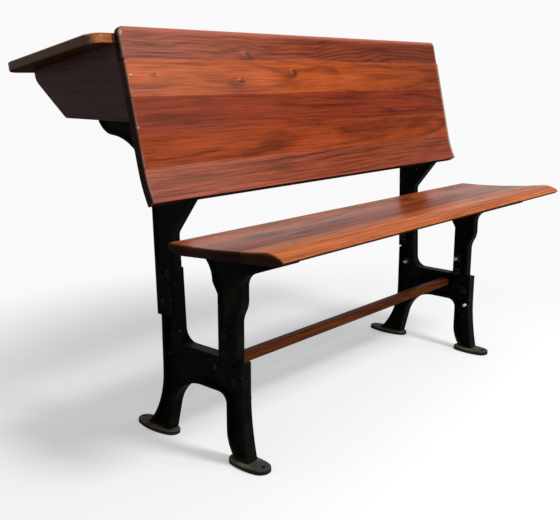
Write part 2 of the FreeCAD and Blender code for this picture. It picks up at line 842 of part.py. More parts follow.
seat_corners = [
    (front_tongue_front, front_lap_bottom),
    (neck_back, front_lap_bottom),
    (neck_back, step_bottom),
    (step_back, step_top, rear_arm_radius, -1),
    (rear_tip_y, rear_tip_z),
    (rear_tip_y, rear_tip_z + size("rear_arm_tip")),
    (bearing_y, seat_under(bearing_y)),
    (front_tip_y, seat_under(front_tip_y)),
    (front_tip_y, front_tip_z),
    (front_bend_y, front_bend_z, front_radius, -1),
    (shoulder_front, front_arm_start),
    (shoulder_front, shoulder_top, shoulder_radius, 1),
    (neck_front - shoulder_run, shoulder_top - shoulder_height, shoulder_radius, -1),
    (neck_front, shoulder_bottom),
    (neck_front, front_leg_shoulder),
    (front_tongue_front, front_leg_shoulder),
]
seat_standard = casting("left_seat_blank", lap_plane, seat_corners, standard_inward, recess, 0, web)
tongue_parts = [
    ((front_tongue_front, front_lap_bottom), (neck_back, front_leg_shoulder)),
    ((neck_front, front_leg_shoulder), (neck_back, front_tongue_top)),
]
for low, high in tongue_parts:
    add(seat_standard, rectangle(seat_standard, "YZ_Plane", lap_plane, low, high), 0, recess)
seat_lap_room = outline(seat_standard, "YZ_Plane", lap_plane, [
    (front_tongue_front - rim, front_lap_bottom - rim),
    (rear_tip_y + rim, front_lap_bottom - rim),
    (rear_tip_y + rim, rear_tip_z),
    (neck_back - rim, rear_tip_z),
    (neck_back - rim, front_tongue_top),
    (front_tongue_front - rim, front_tongue_top),
])
cut(seat_standard, seat_lap_room, standard_inward)
spare_front_hole = (front_bolt_front, front_tongue_top - size("front_spare_hole_drop"))
seat_holes = front_lap_bolts + [spare_front_hole]
cut(seat_standard, circles(seat_standard, "YZ_Plane", lap_plane, seat_holes, bolt_hole_radius), 0, recess)
left_seat = drilled("left_seat_standard", seat_standard, left_drills["seat"])
mirrored("right_seat_standard", left_seat)


# Frame bolts: round-headed, with square nuts on the inner side of the leg frame
def bolt(name, grip):
    """A round-headed bolt that lies along X, its head outside and its shank inward."""
    head = size("bolt_head_diameter") * half
    dome = size("bolt_head_height")
    length = grip + size("nut_height") + size("bolt_end")
    body = new_body(name)
    corners = [
        (-dome, 0),
        (length, 0),
        (length, bolt_radius),
        (0, bolt_radius),
        (0, head, sweep_radius(dome, head), 1),
    ]
    profile = outline(body, "XY_Plane", 0, corners)
    feature = body.newObject("PartDesign::Revolution", name + "_turn")
    feature.Profile = profile
    feature.ReferenceAxis = (profile, ["H_Axis"])
    feature.Angle = 360.0
    body.Tip = feature
    return body


def nut(name, centre):
    across = size("nut_width") * half
    body = new_body(name)
    low = (centre[0] - across, centre[1] - across)
    high = (centre[0] + across, centre[1] + across)
    web_inside = frame_plane + half_web
    add(body, rectangle(body, "YZ_Plane", web_inside, low, high), size("nut_height"))
    hole = bolt_radius + size("nut_clearance")
    cut(body, circles(body, "YZ_Plane", web_inside, [centre], hole), size("nut_height"))
    return body


bolts = []
nuts = []
for index, centre in enumerate(rear_lap_bolts + front_lap_bolts + [leg_bolt]):
    is_lapped = centre is not leg_bolt
    item = bolt(f"frame_bolt_{index}", web + recess if is_lapped else web)
    place(item, outer_plane if is_lapped else lap_plane, *centre, zero)
    bolts.append(item)
    nuts.append(nut(f"frame_nut_{index}", centre))
left_bolts = keep(group("frame_bolts", bolts), "left_frame_bolts")
mirrored("right_frame_bolts", left_bolts)
left_nuts = keep(group("frame_nuts", nuts), "left_frame_nuts")
mirrored("right_frame_nuts", left_nuts)

# Stretcher rail between the crossbars, held by a screw through each web
rail = new_body("stretcher_blank")
rail_low = (rail_middle[0] - size("rail_depth") * half, rail_middle[1] - size("rail_height") * half)
rail_high = (rail_middle[0] + size("rail_depth") * half, rail_middle[1] + size("rail_height") * half)
rail_end = frame_plane + half_web
add(rail, rectangle(rail, "YZ_Plane", rail_end, rail_low, rail_high), -rail_end * 2)
round_edges(rail, size("rail_rounding"), lambda middle, direction: is_along(direction, 0))
rail_bore = size("rail_screw_length") - size("web_thickness")
cut(rail, circles(rail, "YZ_Plane", rail_end, [rail_middle], screw_way), rail_bore)
cut(rail, circles(rail, "YZ_Plane", -rail_end, [rail_middle], screw_way), 0, rail_bore)
keep(rail, "stretcher_rail")


def rail_screw(name, is_left):
    """A round-headed screw along X into one end of the stretcher rail."""
    radius = size("screw_diameter") * half
    head = size("screw_head_diameter") * half
    height = size("screw_head_height")
    out = -1 if is_left else 1
    body = new_body(name)
    seat = lap_plane if is_left else -lap_plane
    length = size("rail_screw_length")
    shank = circles(body, "YZ_Plane", seat, [rail_middle], radius)
    add(body, shank, *((length, 0) if is_left else (0, length)))
    top = circles(body, "YZ_Plane", seat, [rail_middle], head)
    add(body, top, *((0, height) if is_left else (height, 0)))
    head_x = seat.value + out * height.value
    round_edges(body, height * 0.6, lambda middle, direction: is_near(middle.x, head_x))
    return body


rail_screws = [rail_screw("left_rail_screw", True), rail_screw("right_rail_screw", False)]
keep(group("rail_screws", rail_screws), "stretcher_screws")


# Seat: three boards dished on top, bevelled under the back edge and rolled over at the front
def seat_board(label, corners, drills_here):
    blank = new_body(label + "_blank" if drills_here else label)
    seat_half = half_length - size("seat_end_inset")
    profile = outline(blank, "YZ_Plane", -seat_half, [(-c[0], *c[1:]) for c in corners])
    add(blank, profile, seat_half * 2)
    place(blank, 0, seat_back_y, seat_back_z, -seat_tilt)
    if drills_here:
        return drilled(label, blank, drills_here)
    return keep(blank, label)


dish = size("seat_dish_radius")
seam_1 = size("seat_back_width")
seam_2 = seam_1 + size("seat_middle_width")
rounding = size("seat_back_rounding")
bevel = size("seat_bevel_height")
seat_reach = size("seat_reach")
flat_end = seat_reach - size("seat_roll_depth")
nose_start = (seat_reach - size("seat_nose_depth"), size("seat_nose_drop"))
nose_tip = (seat_reach, size("seat_nose_height"))
nose_under = (seat_reach - size("seat_lip_depth"), zero)
lip_radius = sweep_radius(size("seat_nose_height"), size("seat_lip_depth"))
nose_radius = tangent_radius((flat_end, dish_height(flat_end)), zero, nose_start)
back_edge = (zero, bevel + rounding * half)
roll = (dish_height(rounding) - back_edge[1]) * 1.1
seat_drill_back = [d for d in drills["seat"] if d.Name.endswith("0_drill")]
seat_drill_front = [d for d in drills["seat"] if d.Name.endswith("1_drill")]
seat_board("seat_board_back", [
    (seam_1, zero),
    (seam_1, dish_height(seam_1), dish, 1),
    (rounding, dish_height(rounding), roll, -1),
    back_edge,
    (zero, bevel),
    (size("seat_bevel_run"), zero),
], seat_drill_back)
seat_board("seat_board_middle", [
    (seam_2, zero),
    (seam_2, dish_height(seam_2), dish, 1),
    (seam_1, dish_height(seam_1)),
    (seam_1, zero),
], [])
seat_board("seat_board_front", [
    (*nose_under, lip_radius, -1),
    (*nose_tip, size("seat_nose_radius"), -1),
    (*nose_start, nose_radius, -1),
    (flat_end, dish_height(flat_end), dish, 1),
    (seam_2, dish_height(seam_2)),
    (seam_2, zero),
], seat_drill_front)
keep(group("seat_screw_group", screws["seat"]), "seat_screws")


# Back rest: five boards edge to edge, the lowest bent forward to its ledge
def back_board(label, corners, drills_here=()):
    blank = new_body(label + "_blank" if drills_here else label)
    profile = outline(blank, "YZ_Plane", -half_length, corners)
    add(blank, profile, size("desk_length"))
    place(blank, 0, back_y, back_z, -lean)
    if drills_here:
        return drilled(label, blank, list(drills_here))
    return keep(blank, label)


back_board("back_board_5", [
    (zero, zero, bend_radius, -1),
    (bend_radius * cosine(bend) - bend_radius, -bend_radius * sine(bend)),
    (back_outer * cosine(bend) - bend_radius, -back_outer * sine(bend), back_outer, 1),
    (back_thickness, zero),
])
low = zero
for number in (4, 3, 2, 1):
    high = low + size(f"back_board_{number}")
    corners = [(zero, low), (back_thickness, low), (back_thickness, high), (zero, high)]
    board = back_board(f"back_board_{number}", corners, drills["back"] if number == 4 else ())
    low = high
back_top = low
round_edges(board, size("back_corner_radius"), lambda middle, direction: (
    is_along(direction, 1) and is_near(middle.z, back_top.value)))
round_edges(board, size("back_top_rounding"), lambda middle, direction: (
    is_along(direction, 0) and is_near(middle.z, back_top.value)))
keep(group("back_screw_group", screws["back"]), "back_screws")

# Desk box: two sides, a bottom, a sloping knee board and a rear rail, closed in front by the back rest
box_inside = half_length - size("box_side_thickness")
knee_rise = below_top(box_reach) - size("box_rear_height") - box_bottom
knee_tangent = knee_rise / size("knee_run")
knee_secant = root(knee_tangent * knee_tangent + 1)
board_thickness = size("box_board_thickness")
board_inset = size("box_board_inset")
rail_back = box_reach - board_inset
rail_front = rail_back - size("box_rail_thickness")
top_bevel = top_thickness * tangent(lean - slope)


def knee_z(y):
    """Height of the sides' sloping lower edge at a place."""
    return box_bottom + (y - knee_start) * knee_tangent


def knee_board_z(y):
    """Height of the knee board's outer face, which lies a little inside the sides' edge."""
    return knee_z(y) + board_inset * knee_secant


side = new_body("box_left_side")
add(side, outline(side, "YZ_Plane", -half_length, [
    (back_rear_y(box_bottom), box_bottom),
    (knee_start, box_bottom),
    (box_reach, knee_z(box_reach)),
    (box_reach, below_top(box_reach)),
    on_top(-top_bevel, -top_thickness),
]), size("box_side_thickness"))
round_edges(side, size("box_knee_radius"), lambda middle, direction: (
    is_along(direction, 0) and is_near(middle.y, knee_start.value)))
round_edges(side, size("box_rear_radius"), lambda middle, direction: (
    is_along(direction, 0) and is_near(middle.z, knee_z(box_reach).value)))
keep(side, "box_left_side")
mirrored("box_right_side", side)


def box_board(name, corners):
    body = new_body(name)
    add(body, outline(body, "YZ_Plane", -box_inside, corners), box_inside * 2)
    return body


board_knee = knee_start - board_inset * knee_secant / knee_tangent
mitre = (board_knee - board_thickness * (knee_secant - 1) / knee_tangent, box_bottom + board_thickness)
bottom = box_board("box_bottom_blank", [
    (back_rear_y(box_bottom), box_bottom),
    (board_knee, box_bottom),
    mitre,
    (back_rear_y(mitre[1]), mitre[1]),
])
drilled("box_bottom", bottom, drills["box"])
keep(box_board("knee_board", [
    (board_knee, box_bottom),
    (rail_front, knee_board_z(rail_front)),
    (rail_front, knee_board_z(rail_front) + board_thickness * knee_secant),
    mitre,
]), "knee_board")
keep(box_board("box_rear_rail", [
    (rail_front, knee_board_z(rail_front)),
    (rail_back, knee_board_z(rail_back)),
    (rail_back, below_top(rail_back)),
    (rail_front, below_top(rail_front)),
]), "box_rear_rail")
keep(group("box_screw_group", screws["box"]), "box_screws")

# Desk top: a fixed strip against the back rest, then the lid of two boards
top_half = half_length + size("top_end_overhang")
strip_depth = size("strip_depth")
lid_start = strip_depth + size("lid_gap")
top_depth = (box_reach - top_y) / cosine(slope) + size("lid_overhang")
lid_seam = (lid_start + top_depth) * half
lid_thickness = top_thickness - size("lid_rest_gap")
pin_along = strip_depth + size("lid_gap") * half
pin_up = size("pin_rise")
hinge_half = size("hinge_length") * half
pin_radius = size("pin_diameter") * half
knuckle_radius = size("knuckle_diameter") * half
pin_end = size("pin_diameter") * 0.25
hinge_place = half_length - size("hinge_end_distance")
hinge_places = {"left": -hinge_place, "right": hinge_place}


def top_board(name, corners):
    body = new_body(name)
    add(body, outline(body, "YZ_Plane", -top_half, corners), top_half * 2)
    return body


def ease_ends(body):
    """Rounds the long arrises at both ends of a top board, and every arris that runs on from them."""
    for level in (0.0, -1.0):
        round_edges(body, size("top_edge_rounding"), lambda middle, direction: (
            is_near(abs(middle.x), top_half.value) and is_along(direction, 1)
            and (is_near(middle.z, 0.0) if level == 0.0 else middle.z < -top_thickness.value * 0.9)))


def let_in_hinges(body, near, far):
    """Shallow seats for the hinge leaves between two places, and a groove for each barrel."""
    room = size("leaf_clearance")
    for middle in hinge_places.values():
        ends = (middle - hinge_half - room, middle + hinge_half + room)
        seat = rectangle(body, "XY_Plane", 0, (ends[0], near), (ends[1], far))
        cut(body, seat, 0, size("leaf_thickness"))
        start = ends[0] - pin_end
        groove_radius = knuckle_radius + size("groove_clearance")
        groove = circles(body, "YZ_Plane", start, [(pin_along, pin_up)], groove_radius)
        cut(body, groove, (hinge_half + room + pin_end) * 2)


strip = top_board("hinge_strip", [
    (-top_bevel, -top_thickness),
    (strip_depth, -top_thickness),
    (strip_depth, zero),
    (zero, zero),
])
round_edges(strip, size("top_corner_radius"), lambda middle, direction: (
    abs(direction.z) > 0.9 and middle.y < 0 and is_near(abs(middle.x), top_half.value)))
ease_ends(strip)
inkwell_place = half_length - size("inkwell_end_distance")
inkwells = [(place_x, size("inkwell_setback")) for place_x in (-inkwell_place, inkwell_place)]
cut(strip, circles(strip, "XY_Plane", 0, inkwells, size("inkwell_diameter") * half), 0, top_thickness)
setback = size("pen_groove_setback")
groove_near = size("pen_groove_gap") * half
groove_far = inkwell_place - size("pen_groove_start")
for low_x, high_x in ((-groove_far, -groove_near), (groove_near, groove_far)):
    groove = rectangle(strip, "XY_Plane", 0, (low_x, setback), (high_x, setback + size("pen_groove_width")))
    cut(strip, groove, 0, size("pen_groove_depth"))
let_in_hinges(strip, pin_along - size("leaf_width") - size("leaf_clearance"), strip_depth)
place(strip, 0, top_y, top_z, -slope)
keep(strip, "hinge_strip")

lid_front = top_board("lid_board_front", [
    (lid_start, -lid_thickness),
    (lid_seam, -lid_thickness),
    (lid_seam, zero),
    (lid_start, zero),
])
ease_ends(lid_front)
let_in_hinges(lid_front, lid_start, pin_along + size("leaf_width") + size("leaf_clearance"))
place(lid_front, 0, top_y, top_z, -slope)
keep(lid_front, "lid_board_front")

lid_rear = top_board("lid_board_rear", [
    (lid_seam, -lid_thickness),
    (top_depth, -lid_thickness),
    (top_depth, zero),
    (lid_seam, zero),
])
round_edges(lid_rear, size("top_corner_radius"), lambda middle, direction: (
    is_along(direction, 2) and is_near(middle.y, top_depth.value)))
ease_ends(lid_rear)
place(lid_rear, 0, top_y, top_z, -slope)
keep(lid_rear, "lid_board_rear")

# Battens across the underside of the lid
batten_start = lid_start + size("batten_inset")
batten_end = (rail_front - top_y) / cosine(slope) - size("batten_clearance")
batten_place = half_length - size("batten_end_distance")
for side_name, middle in (("left", -batten_place), ("right", batten_place)):
    batten = new_body(f"lid_{side_name}_batten")
    across = size("batten_width") * half
    plan = rectangle(batten, "XY_Plane", -lid_thickness, (middle - across, batten_start),
                     (middle + across, batten_end))
    add(batten, plan, 0, size("batten_thickness"))
    round_edges(batten, size("batten_rounding"), lambda middle_point, direction: (
        middle_point.z < -lid_thickness.value - SIZES["batten_thickness"] + 0.01))
    place(batten, 0, top_y, top_z, -slope)
    keep(batten, f"lid_{side_name}_batten")


# Lid hinges: a leaf let into the strip, a leaf let into the lid, and the pin in their knuckles
def leaf(name, middle, to_rear, knuckles, bore):
    """A hinge leaf whose knuckles span the given stretches of the hinge's length."""
    body = new_body(name)
    way = 1 if to_rear else -1
    edge = pin_along + (knuckle_radius + size("groove_clearance")) * way
    plate = (middle - hinge_half, middle + hinge_half, edge, pin_along + size("leaf_width") * way)
    low_y, high_y = (plate[2], plate[3]) if to_rear else (plate[3], plate[2])
    add(body, rectangle(body, "XY_Plane", 0, (plate[0], low_y), (plate[1], high_y)), 0, size("leaf_thickness"))
    for start, end in knuckles:
        low_y, high_y = (pin_along, edge) if to_rear else (edge, pin_along)
        tab = rectangle(body, "XY_Plane", 0, (middle + start, low_y), (middle + end, high_y))
        add(body, tab, 0, size("leaf_thickness"))
        barrel = circles(body, "YZ_Plane", middle + start, [(pin_along, pin_up)], knuckle_radius)
        add(body, barrel, end - start)
    hole = circles(body, "YZ_Plane", middle - hinge_half, [(pin_along, pin_up)], bore)
    cut(body, hole, size("hinge_length"))
    place(body, 0, top_y, top_z, -slope)
    return keep(body, name)


knuckle_half = size("knuckle_length") * half
knuckle_gap = size("knuckle_gap")
outer_knuckles = [(-hinge_half, -knuckle_half - knuckle_gap), (knuckle_half + knuckle_gap, hinge_half)]
for side_name, middle in hinge_places.items():
    leaf(f"{side_name}_hinge_strip_leaf", middle, False, outer_knuckles, pin_radius)
    leaf(f"{side_name}_hinge_lid_leaf", middle, True, [(-knuckle_half, knuckle_half)],
         pin_radius + size("pin_clearance"))
    pin = new_body(f"{side_name}_hinge_pin")
    pin_start = middle - hinge_half - pin_end
    add(pin, circles(pin, "YZ_Plane", pin_start, [(pin_along, pin_up)], pin_radius), (hinge_half + pin_end) * 2)
    round_edges(pin, pin_end, lambda middle_point, direction: not is_along(direction, 0))
    place(pin, 0, top_y, top_z, -slope)
    keep(pin, f"{side_name}_hinge_pin")

# Every object has to be sound before the pieces are written
doc.recompute()
for item in doc.Objects:
    faults = [state for state in item.State if state in ("Invalid", "Error")]
    if faults:
        raise RuntimeError(f"{item.Name} is {faults}")
os.makedirs("parts", exist_ok=True)
for label, item in nodes.items():
    shape = item.Shape
    if shape.isNull() or not shape.isValid() or not shape.Solids:
        raise RuntimeError(f"{label} has no sound solid")
    shape.exportStep(f"parts/{label}.step")
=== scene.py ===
from math import cos, pi, radians, sin

import bmesh
import bpy
from mathutils import Matrix, Vector


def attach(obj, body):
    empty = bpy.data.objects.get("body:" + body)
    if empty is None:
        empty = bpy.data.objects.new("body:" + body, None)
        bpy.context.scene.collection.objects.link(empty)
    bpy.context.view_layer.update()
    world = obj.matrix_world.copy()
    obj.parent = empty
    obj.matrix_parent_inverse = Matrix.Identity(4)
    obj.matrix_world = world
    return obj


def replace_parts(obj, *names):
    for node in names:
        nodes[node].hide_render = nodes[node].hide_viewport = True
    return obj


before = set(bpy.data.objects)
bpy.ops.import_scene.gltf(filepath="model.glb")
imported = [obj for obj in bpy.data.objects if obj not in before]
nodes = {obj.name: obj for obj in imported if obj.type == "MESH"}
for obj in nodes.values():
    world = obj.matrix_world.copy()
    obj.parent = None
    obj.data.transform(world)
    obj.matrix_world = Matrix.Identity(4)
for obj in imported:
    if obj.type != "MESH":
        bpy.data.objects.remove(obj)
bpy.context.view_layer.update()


# Cast-iron leg frames and standards: grey iron cast in sand, a flat web with a rim standing
# round its edge. They were dipped in black japan, which has gone from the feet, where shoes
# rub, and in small chips along the arrises.
def new_group(name, inputs, outputs):
    """Start a shader group; gives it, the sockets it reads and the node that takes its results."""
    tree = bpy.data.node_groups.new(name, "ShaderNodeTree")
    for way, sockets in (("INPUT", inputs), ("OUTPUT", outputs)):
        for label, kind in sockets.items():
            tree.interface.new_socket(label, in_out=way, socket_type="NodeSocket" + kind)
    return tree, tree.nodes.new("NodeGroupInput").outputs, tree.nodes.new("NodeGroupOutput")


def new_material(name):
    """Start a material; gives it, its node tree and its surface node."""
    made = bpy.data.materials.new(name)
    made.use_nodes = True
    return made, made.node_tree, made.node_tree.nodes["Principled BSDF"]


def feed(tree, node, links):
    """Give each named input of a node a value or a wire."""
    for label, source in links.items():
        if isinstance(source, bpy.types.NodeSocket):
            tree.links.new(source, node.inputs[label])
        else:
            node.inputs[label].default_value = source


def put(tree, kind, links, **settings):
    """Place a node, set it up and feed its inputs."""
    node = tree.nodes.new(kind)
    for label, value in settings.items():
        setattr(node, label, value)
    feed(tree, node, links)
    return node


def reckon(tree, operation, *terms):
    """One arithmetic step on values that change over the surface."""
    return put(tree, "ShaderNodeMath", dict(enumerate(terms)), operation=operation).outputs[0]


def times(tree, first, *others):
    """Multiply values one after the other."""
    for other in others:
        first = reckon(tree, "MULTIPLY", first, other)
    return first


def plus(tree, first, second):
    """Add two values."""
    return reckon(tree, "ADD", first, second)


def minus(tree, first, second):
    """Take the second value from the first."""
    return reckon(tree, "SUBTRACT", first, second)


def scaled(tree, value, gain, lift):
    """The value times the gain, plus the lift."""
    return reckon(tree, "MULTIPLY_ADD", value, gain, lift)


def inverse(tree, share):
    """What is left of 1 beside a share."""
    return minus(tree, 1.0, share)


def between(tree, value, low, high):
    """Rise smoothly from 0 where the value is low to 1 where it is high."""
    links = {"Value": value, "From Min": low, "From Max": high}
    return put(tree, "ShaderNodeMapRange", links, interpolation_type="SMOOTHSTEP").outputs[0]


def tint(tree, factor, under, over, mode="MIX"):
    """Lay one colour over another; a mix node has its colours at 6 and 7, and the result at 2."""
    links = {0: factor, 6: under, 7: over}
    return put(tree, "ShaderNodeMix", links, data_type="RGBA", blend_type=mode).outputs[2]


def split(tree, vector):
    """The three parts of a vector."""
    return put(tree, "ShaderNodeSeparateXYZ", {0: vector}).outputs


def reckon_vector(tree, operation, *terms):
    """One arithmetic step on vectors."""
    return put(tree, "ShaderNodeVectorMath", dict(enumerate(terms)), operation=operation).outputs[0]


def speckle(tree, vector, scale, detail=3.0, roughness=0.5):
    """Cloudy noise between 0 and 1."""
    links = {"Vector": vector, "Scale": scale, "Detail": detail, "Roughness": roughness}
    return put(tree, "ShaderNodeTexNoise", links).outputs[0]


def dress(name, material):
    """Give a CAD node its material."""
    nodes[name].material_slots[0].material = material


arris, given, result = new_group(
    "worn_arris",
    {"Radius": "Float", "Vector": "Vector", "Patchiness": "Float"},
    {"Worn": "Float", "Chipped": "Float", "Normal": "Vector"})
rounded = put(arris, "ShaderNodeBevel", {"Radius": given["Radius"]}, samples=6).outputs[0]
flat = put(arris, "ShaderNodeNewGeometry", {}).outputs["Normal"]
facing = put(arris, "ShaderNodeVectorMath", {0: rounded, 1: flat}, operation="DOT_PRODUCT")
turning = between(arris, inverse(arris, facing.outputs["Value"]), 0.01, 0.16)
patchy = speckle(arris, given["Vector"], given["Patchiness"], detail=4.0)
feed(arris, result, {
    "Worn": times(arris, turning, between(arris, patchy, 0.3, 0.65)),
    "Chipped": times(arris, turning, between(arris, patchy, 0.62, 0.7)),
    "Normal": rounded})

japan_black = (0.0020, 0.0019, 0.0019, 1)
japan_grey = (0.0058, 0.0056, 0.0053, 1)
japan_brown = (0.020, 0.0165, 0.0100, 1)
scuffed_brown = (0.058, 0.048, 0.030, 1)
scuffed_pale = (0.170, 0.145, 0.102, 1)
front_toe_grey = (0.068, 0.065, 0.060, 1)
chip_grey = (0.085, 0.078, 0.066, 1)
foot_top = 0.0115
foot_edge = 0.002
splash_height = 0.045
toe_start, toe_end = -0.135, -0.165
japan, given, result = new_group(
    "black_japan",
    {"Vector": "Vector", "Chipped": "Float"},
    {"Color": "Color", "Roughness": "Float", "Height": "Float"})
place = given["Vector"]
_, fore, height = split(japan, place)
mottle = speckle(japan, place, scale=38.0, detail=5.0, roughness=0.6)
skin = tint(japan, between(japan, mottle, 0.35, 0.75), japan_black, japan_grey)
clouds = speckle(japan, place, scale=11.0, detail=4.0, roughness=0.55)
skin = tint(japan, times(japan, between(japan, clouds, 0.55, 0.78), 0.6), skin, japan_brown)
below_top = minus(japan, foot_top, height)
low = reckon(japan, "MAXIMUM", between(japan, below_top, -foot_edge, foot_edge),
             times(japan, between(japan, below_top, -splash_height, 0.0), 0.14))
scuffs = speckle(japan, place, scale=55.0, detail=5.0, roughness=0.62)
bare = tint(japan, between(japan, scuffs, 0.3, 0.62), scuffed_brown, scuffed_pale)
bare = tint(japan, between(japan, fore, toe_start, toe_end), bare, front_toe_grey)
upward = split(japan, put(japan, "ShaderNodeNewGeometry", {}).outputs["Normal"])[2]
trodden = scaled(japan, between(japan, upward, 0.1, 0.6), 0.75, 0.25)
skin = tint(japan, times(japan, low, trodden), skin, bare)
fine_place = reckon_vector(japan, "MULTIPLY", place, (90.0, 60.0, 150.0))
flecks = between(japan, speckle(japan, fine_place, scale=1.0, detail=2.0), 0.70, 0.75)
chips = reckon(japan, "MAXIMUM", flecks, given["Chipped"])
dull = scaled(japan, mottle, 0.26, 0.30)
grit = speckle(japan, place, scale=420.0, detail=2.0)
lumps = speckle(japan, place, scale=90.0, detail=3.0)
feed(japan, result, {
    "Color": tint(japan, times(japan, chips, 0.6), skin, chip_grey),
    "Roughness": scaled(japan, low, 0.14, dull),
    "Height": scaled(japan, lumps, 1.4, grit)})

cast_iron, tree, surface = new_material("black_cast_iron")
place = put(tree, "ShaderNodeTexCoord", {}).outputs["Object"]
edge = put(tree, "ShaderNodeGroup", {"Vector": place, "Radius": 0.0022, "Patchiness": 75.0},
           node_tree=arris).outputs
skin = put(tree, "ShaderNodeGroup", {"Vector": place, "Chipped": edge["Chipped"]},
           node_tree=japan).outputs
sandy = put(tree, "ShaderNodeBump", {"Strength": 0.35, "Distance": 0.0006,
                                     "Height": skin["Height"], "Normal": edge["Normal"]})
feed(tree, surface, {"Base Color": skin["Color"], "Roughness": skin["Roughness"],
                     "Normal": sandy.outputs[0], "Specular IOR Level": 0.02})
for side in ("left", "right"):
    for casting in ("leg_frame", "desk_standard", "seat_standard"):
        dress(side + "_" + casting, cast_iron)


# Bolts and nuts that hold the standards to the leg frames: forged mild steel. The heads on
# the outside went through the japan with the castings; the nuts inside were left bare and
# have rubbed grey over old rust.
steel, given, result = new_group(
    "rubbed_steel",
    {"Vector": "Vector", "Bright": "Color", "Rust": "Color", "Rust Share": "Float"},
    {"Color": "Color", "Roughness": "Float", "Height": "Float"})
rust_rim = 0.12
blotch = speckle(steel, given["Vector"], scale=170.0, detail=5.0, roughness=0.6)
level = minus(steel, 1.05, given["Rust Share"])
rusted = between(steel, blotch, minus(steel, level, rust_rim), plus(steel, level, rust_rim))
feed(steel, result, {
    "Color": tint(steel, rusted, given["Bright"], given["Rust"]),
    "Roughness": scaled(steel, rusted, 0.35, 0.34),
    "Height": speckle(steel, given["Vector"], scale=700.0, detail=3.0)})


def shifted(colour, gain, lift=0.0):
    """A colour made lighter or darker."""
    return tuple(min(1.0, gain*part + lift) for part in colour) + (1,)


def metal(name, bright, rust, share, metallic, gloss=0.5):
    """Rubbed metal, with rust left over a share of it and paler arrises."""
    made, tree, surface = new_material(name)
    place = put(tree, "ShaderNodeTexCoord", {}).outputs["Object"]
    skin = put(tree, "ShaderNodeGroup", {"Vector": place, "Bright": bright + (1,), "Rust": rust + (1,),
                                         "Rust Share": share}, node_tree=steel).outputs
    edge = put(tree, "ShaderNodeGroup", {"Vector": place, "Radius": 0.0008, "Patchiness": 240.0},
               node_tree=arris).outputs
    paler = tint(tree, times(tree, edge["Worn"], 0.5), skin["Color"], shifted(bright, 2.2))
    pitted = put(tree, "ShaderNodeBump", {"Strength": 0.25, "Distance": 0.0003,
                                          "Height": skin["Height"], "Normal": edge["Normal"]})
    feed(tree, surface, {"Base Color": paler, "Roughness": skin["Roughness"], "Normal": pitted.outputs[0],
                         "Metallic": metallic, "Specular IOR Level": gloss})
    return made


bolt_steel = metal("japanned_bolt_steel", (0.0060, 0.0056, 0.0050), (0.015, 0.0125, 0.008),
                   share=0.5, metallic=0.0, gloss=0.03)
nut_steel = metal("bare_nut_steel", (0.030, 0.029, 0.026), (0.012, 0.010, 0.007),
                  share=0.6, metallic=0.3, gloss=0.15)
for side in ("left", "right"):
    dress(side + "_frame_bolts", bolt_steel)
    dress(side + "_frame_nuts", nut_steel)


# Bolt ends: the bright threaded tips of the longer bolts, standing past their nuts on the inside
# of each leg frame, with a short peg in the front leg below them. Turned and cut mild steel.
def lathe(shape, profile, axis, steps=20):
    """Turn a profile, given as pairs of reach along the axis and radius, into a closed solid."""
    side = Vector((0, 0, 1)) if axis.x else Vector((1, 0, 0))
    points = [shape.verts.new(axis*reach + side*radius) for reach, radius in profile]
    lines = [shape.edges.new(pair) for pair in zip(points, points[1:])]
    bmesh.ops.spin(shape, geom=points + lines, cent=(0, 0, 0), axis=axis, angle=2*pi, steps=steps,
                   use_merge=True)
    bmesh.ops.remove_doubles(shape, verts=shape.verts, dist=1e-6)
    bmesh.ops.recalc_face_normals(shape, faces=shape.faces)


def as_piece(name, shapes, material, body):
    """Join finished shapes into one piece that moves with a body."""
    mesh = bpy.data.meshes.new(name)
    whole = bmesh.new()
    for shape in shapes:
        shape.to_mesh(mesh)
        shape.free()
        whole.from_mesh(mesh)
    whole.to_mesh(mesh)
    whole.free()
    mesh.materials.append(material)
    piece = bpy.data.objects.new(name, mesh)
    bpy.context.collection.objects.link(piece)
    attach(piece, body)
    return piece


thread_turns = 6
thread_pitch = 0.0014
crest_start, crest_end = 0.0004, 0.0011
crest_radius = 0.0041
root_radius = 0.0036
tip_length = 0.0100
thread = [(0.0, 0.0), (0.0, root_radius)]
for turn in range(thread_turns):
    thread += [(turn*thread_pitch + crest_start, crest_radius),
               (turn*thread_pitch + crest_end, root_radius)]
thread += [(0.0092, 0.0034), (tip_length, 0.0024), (tip_length, 0.0)]
# Each tip's Y and Z, and how far from the middle of the desk it starts
tip_places = ((0.062, 0.2095, 0.4028), (-0.086, 0.240, 0.4028), (-0.118, 0.123, 0.4035))
end_steel = metal("bright_thread_steel", (0.52, 0.51, 0.48), (0.16, 0.14, 0.11), share=0.35, metallic=0.3)
for side, inward in (("left", 1.0), ("right", -1.0)):
    tips = []
    for y, z, start in tip_places:
        tip = bmesh.new()
        lathe(tip, thread, Vector((inward, 0, 0)))
        bmesh.ops.translate(tip, verts=tip.verts, vec=(-inward*start, y, z))
        tips.append(tip)
    as_piece(side + "_bolt_ends", tips, end_steel, "desk")


# Stretcher rail: one straight pine rail between the leg frames, stained dark and screwed
# through the castings, its faces rubbed by heels.
def drawn_out(tree, vector, along, across, detail=2.0, roughness=0.5):
    """Noise drawn out along the grain; along and across are its lumps in a metre each way."""
    drawn = reckon_vector(tree, "MULTIPLY", vector, (along, across, across))
    return speckle(tree, drawn, 1.0, detail, roughness)


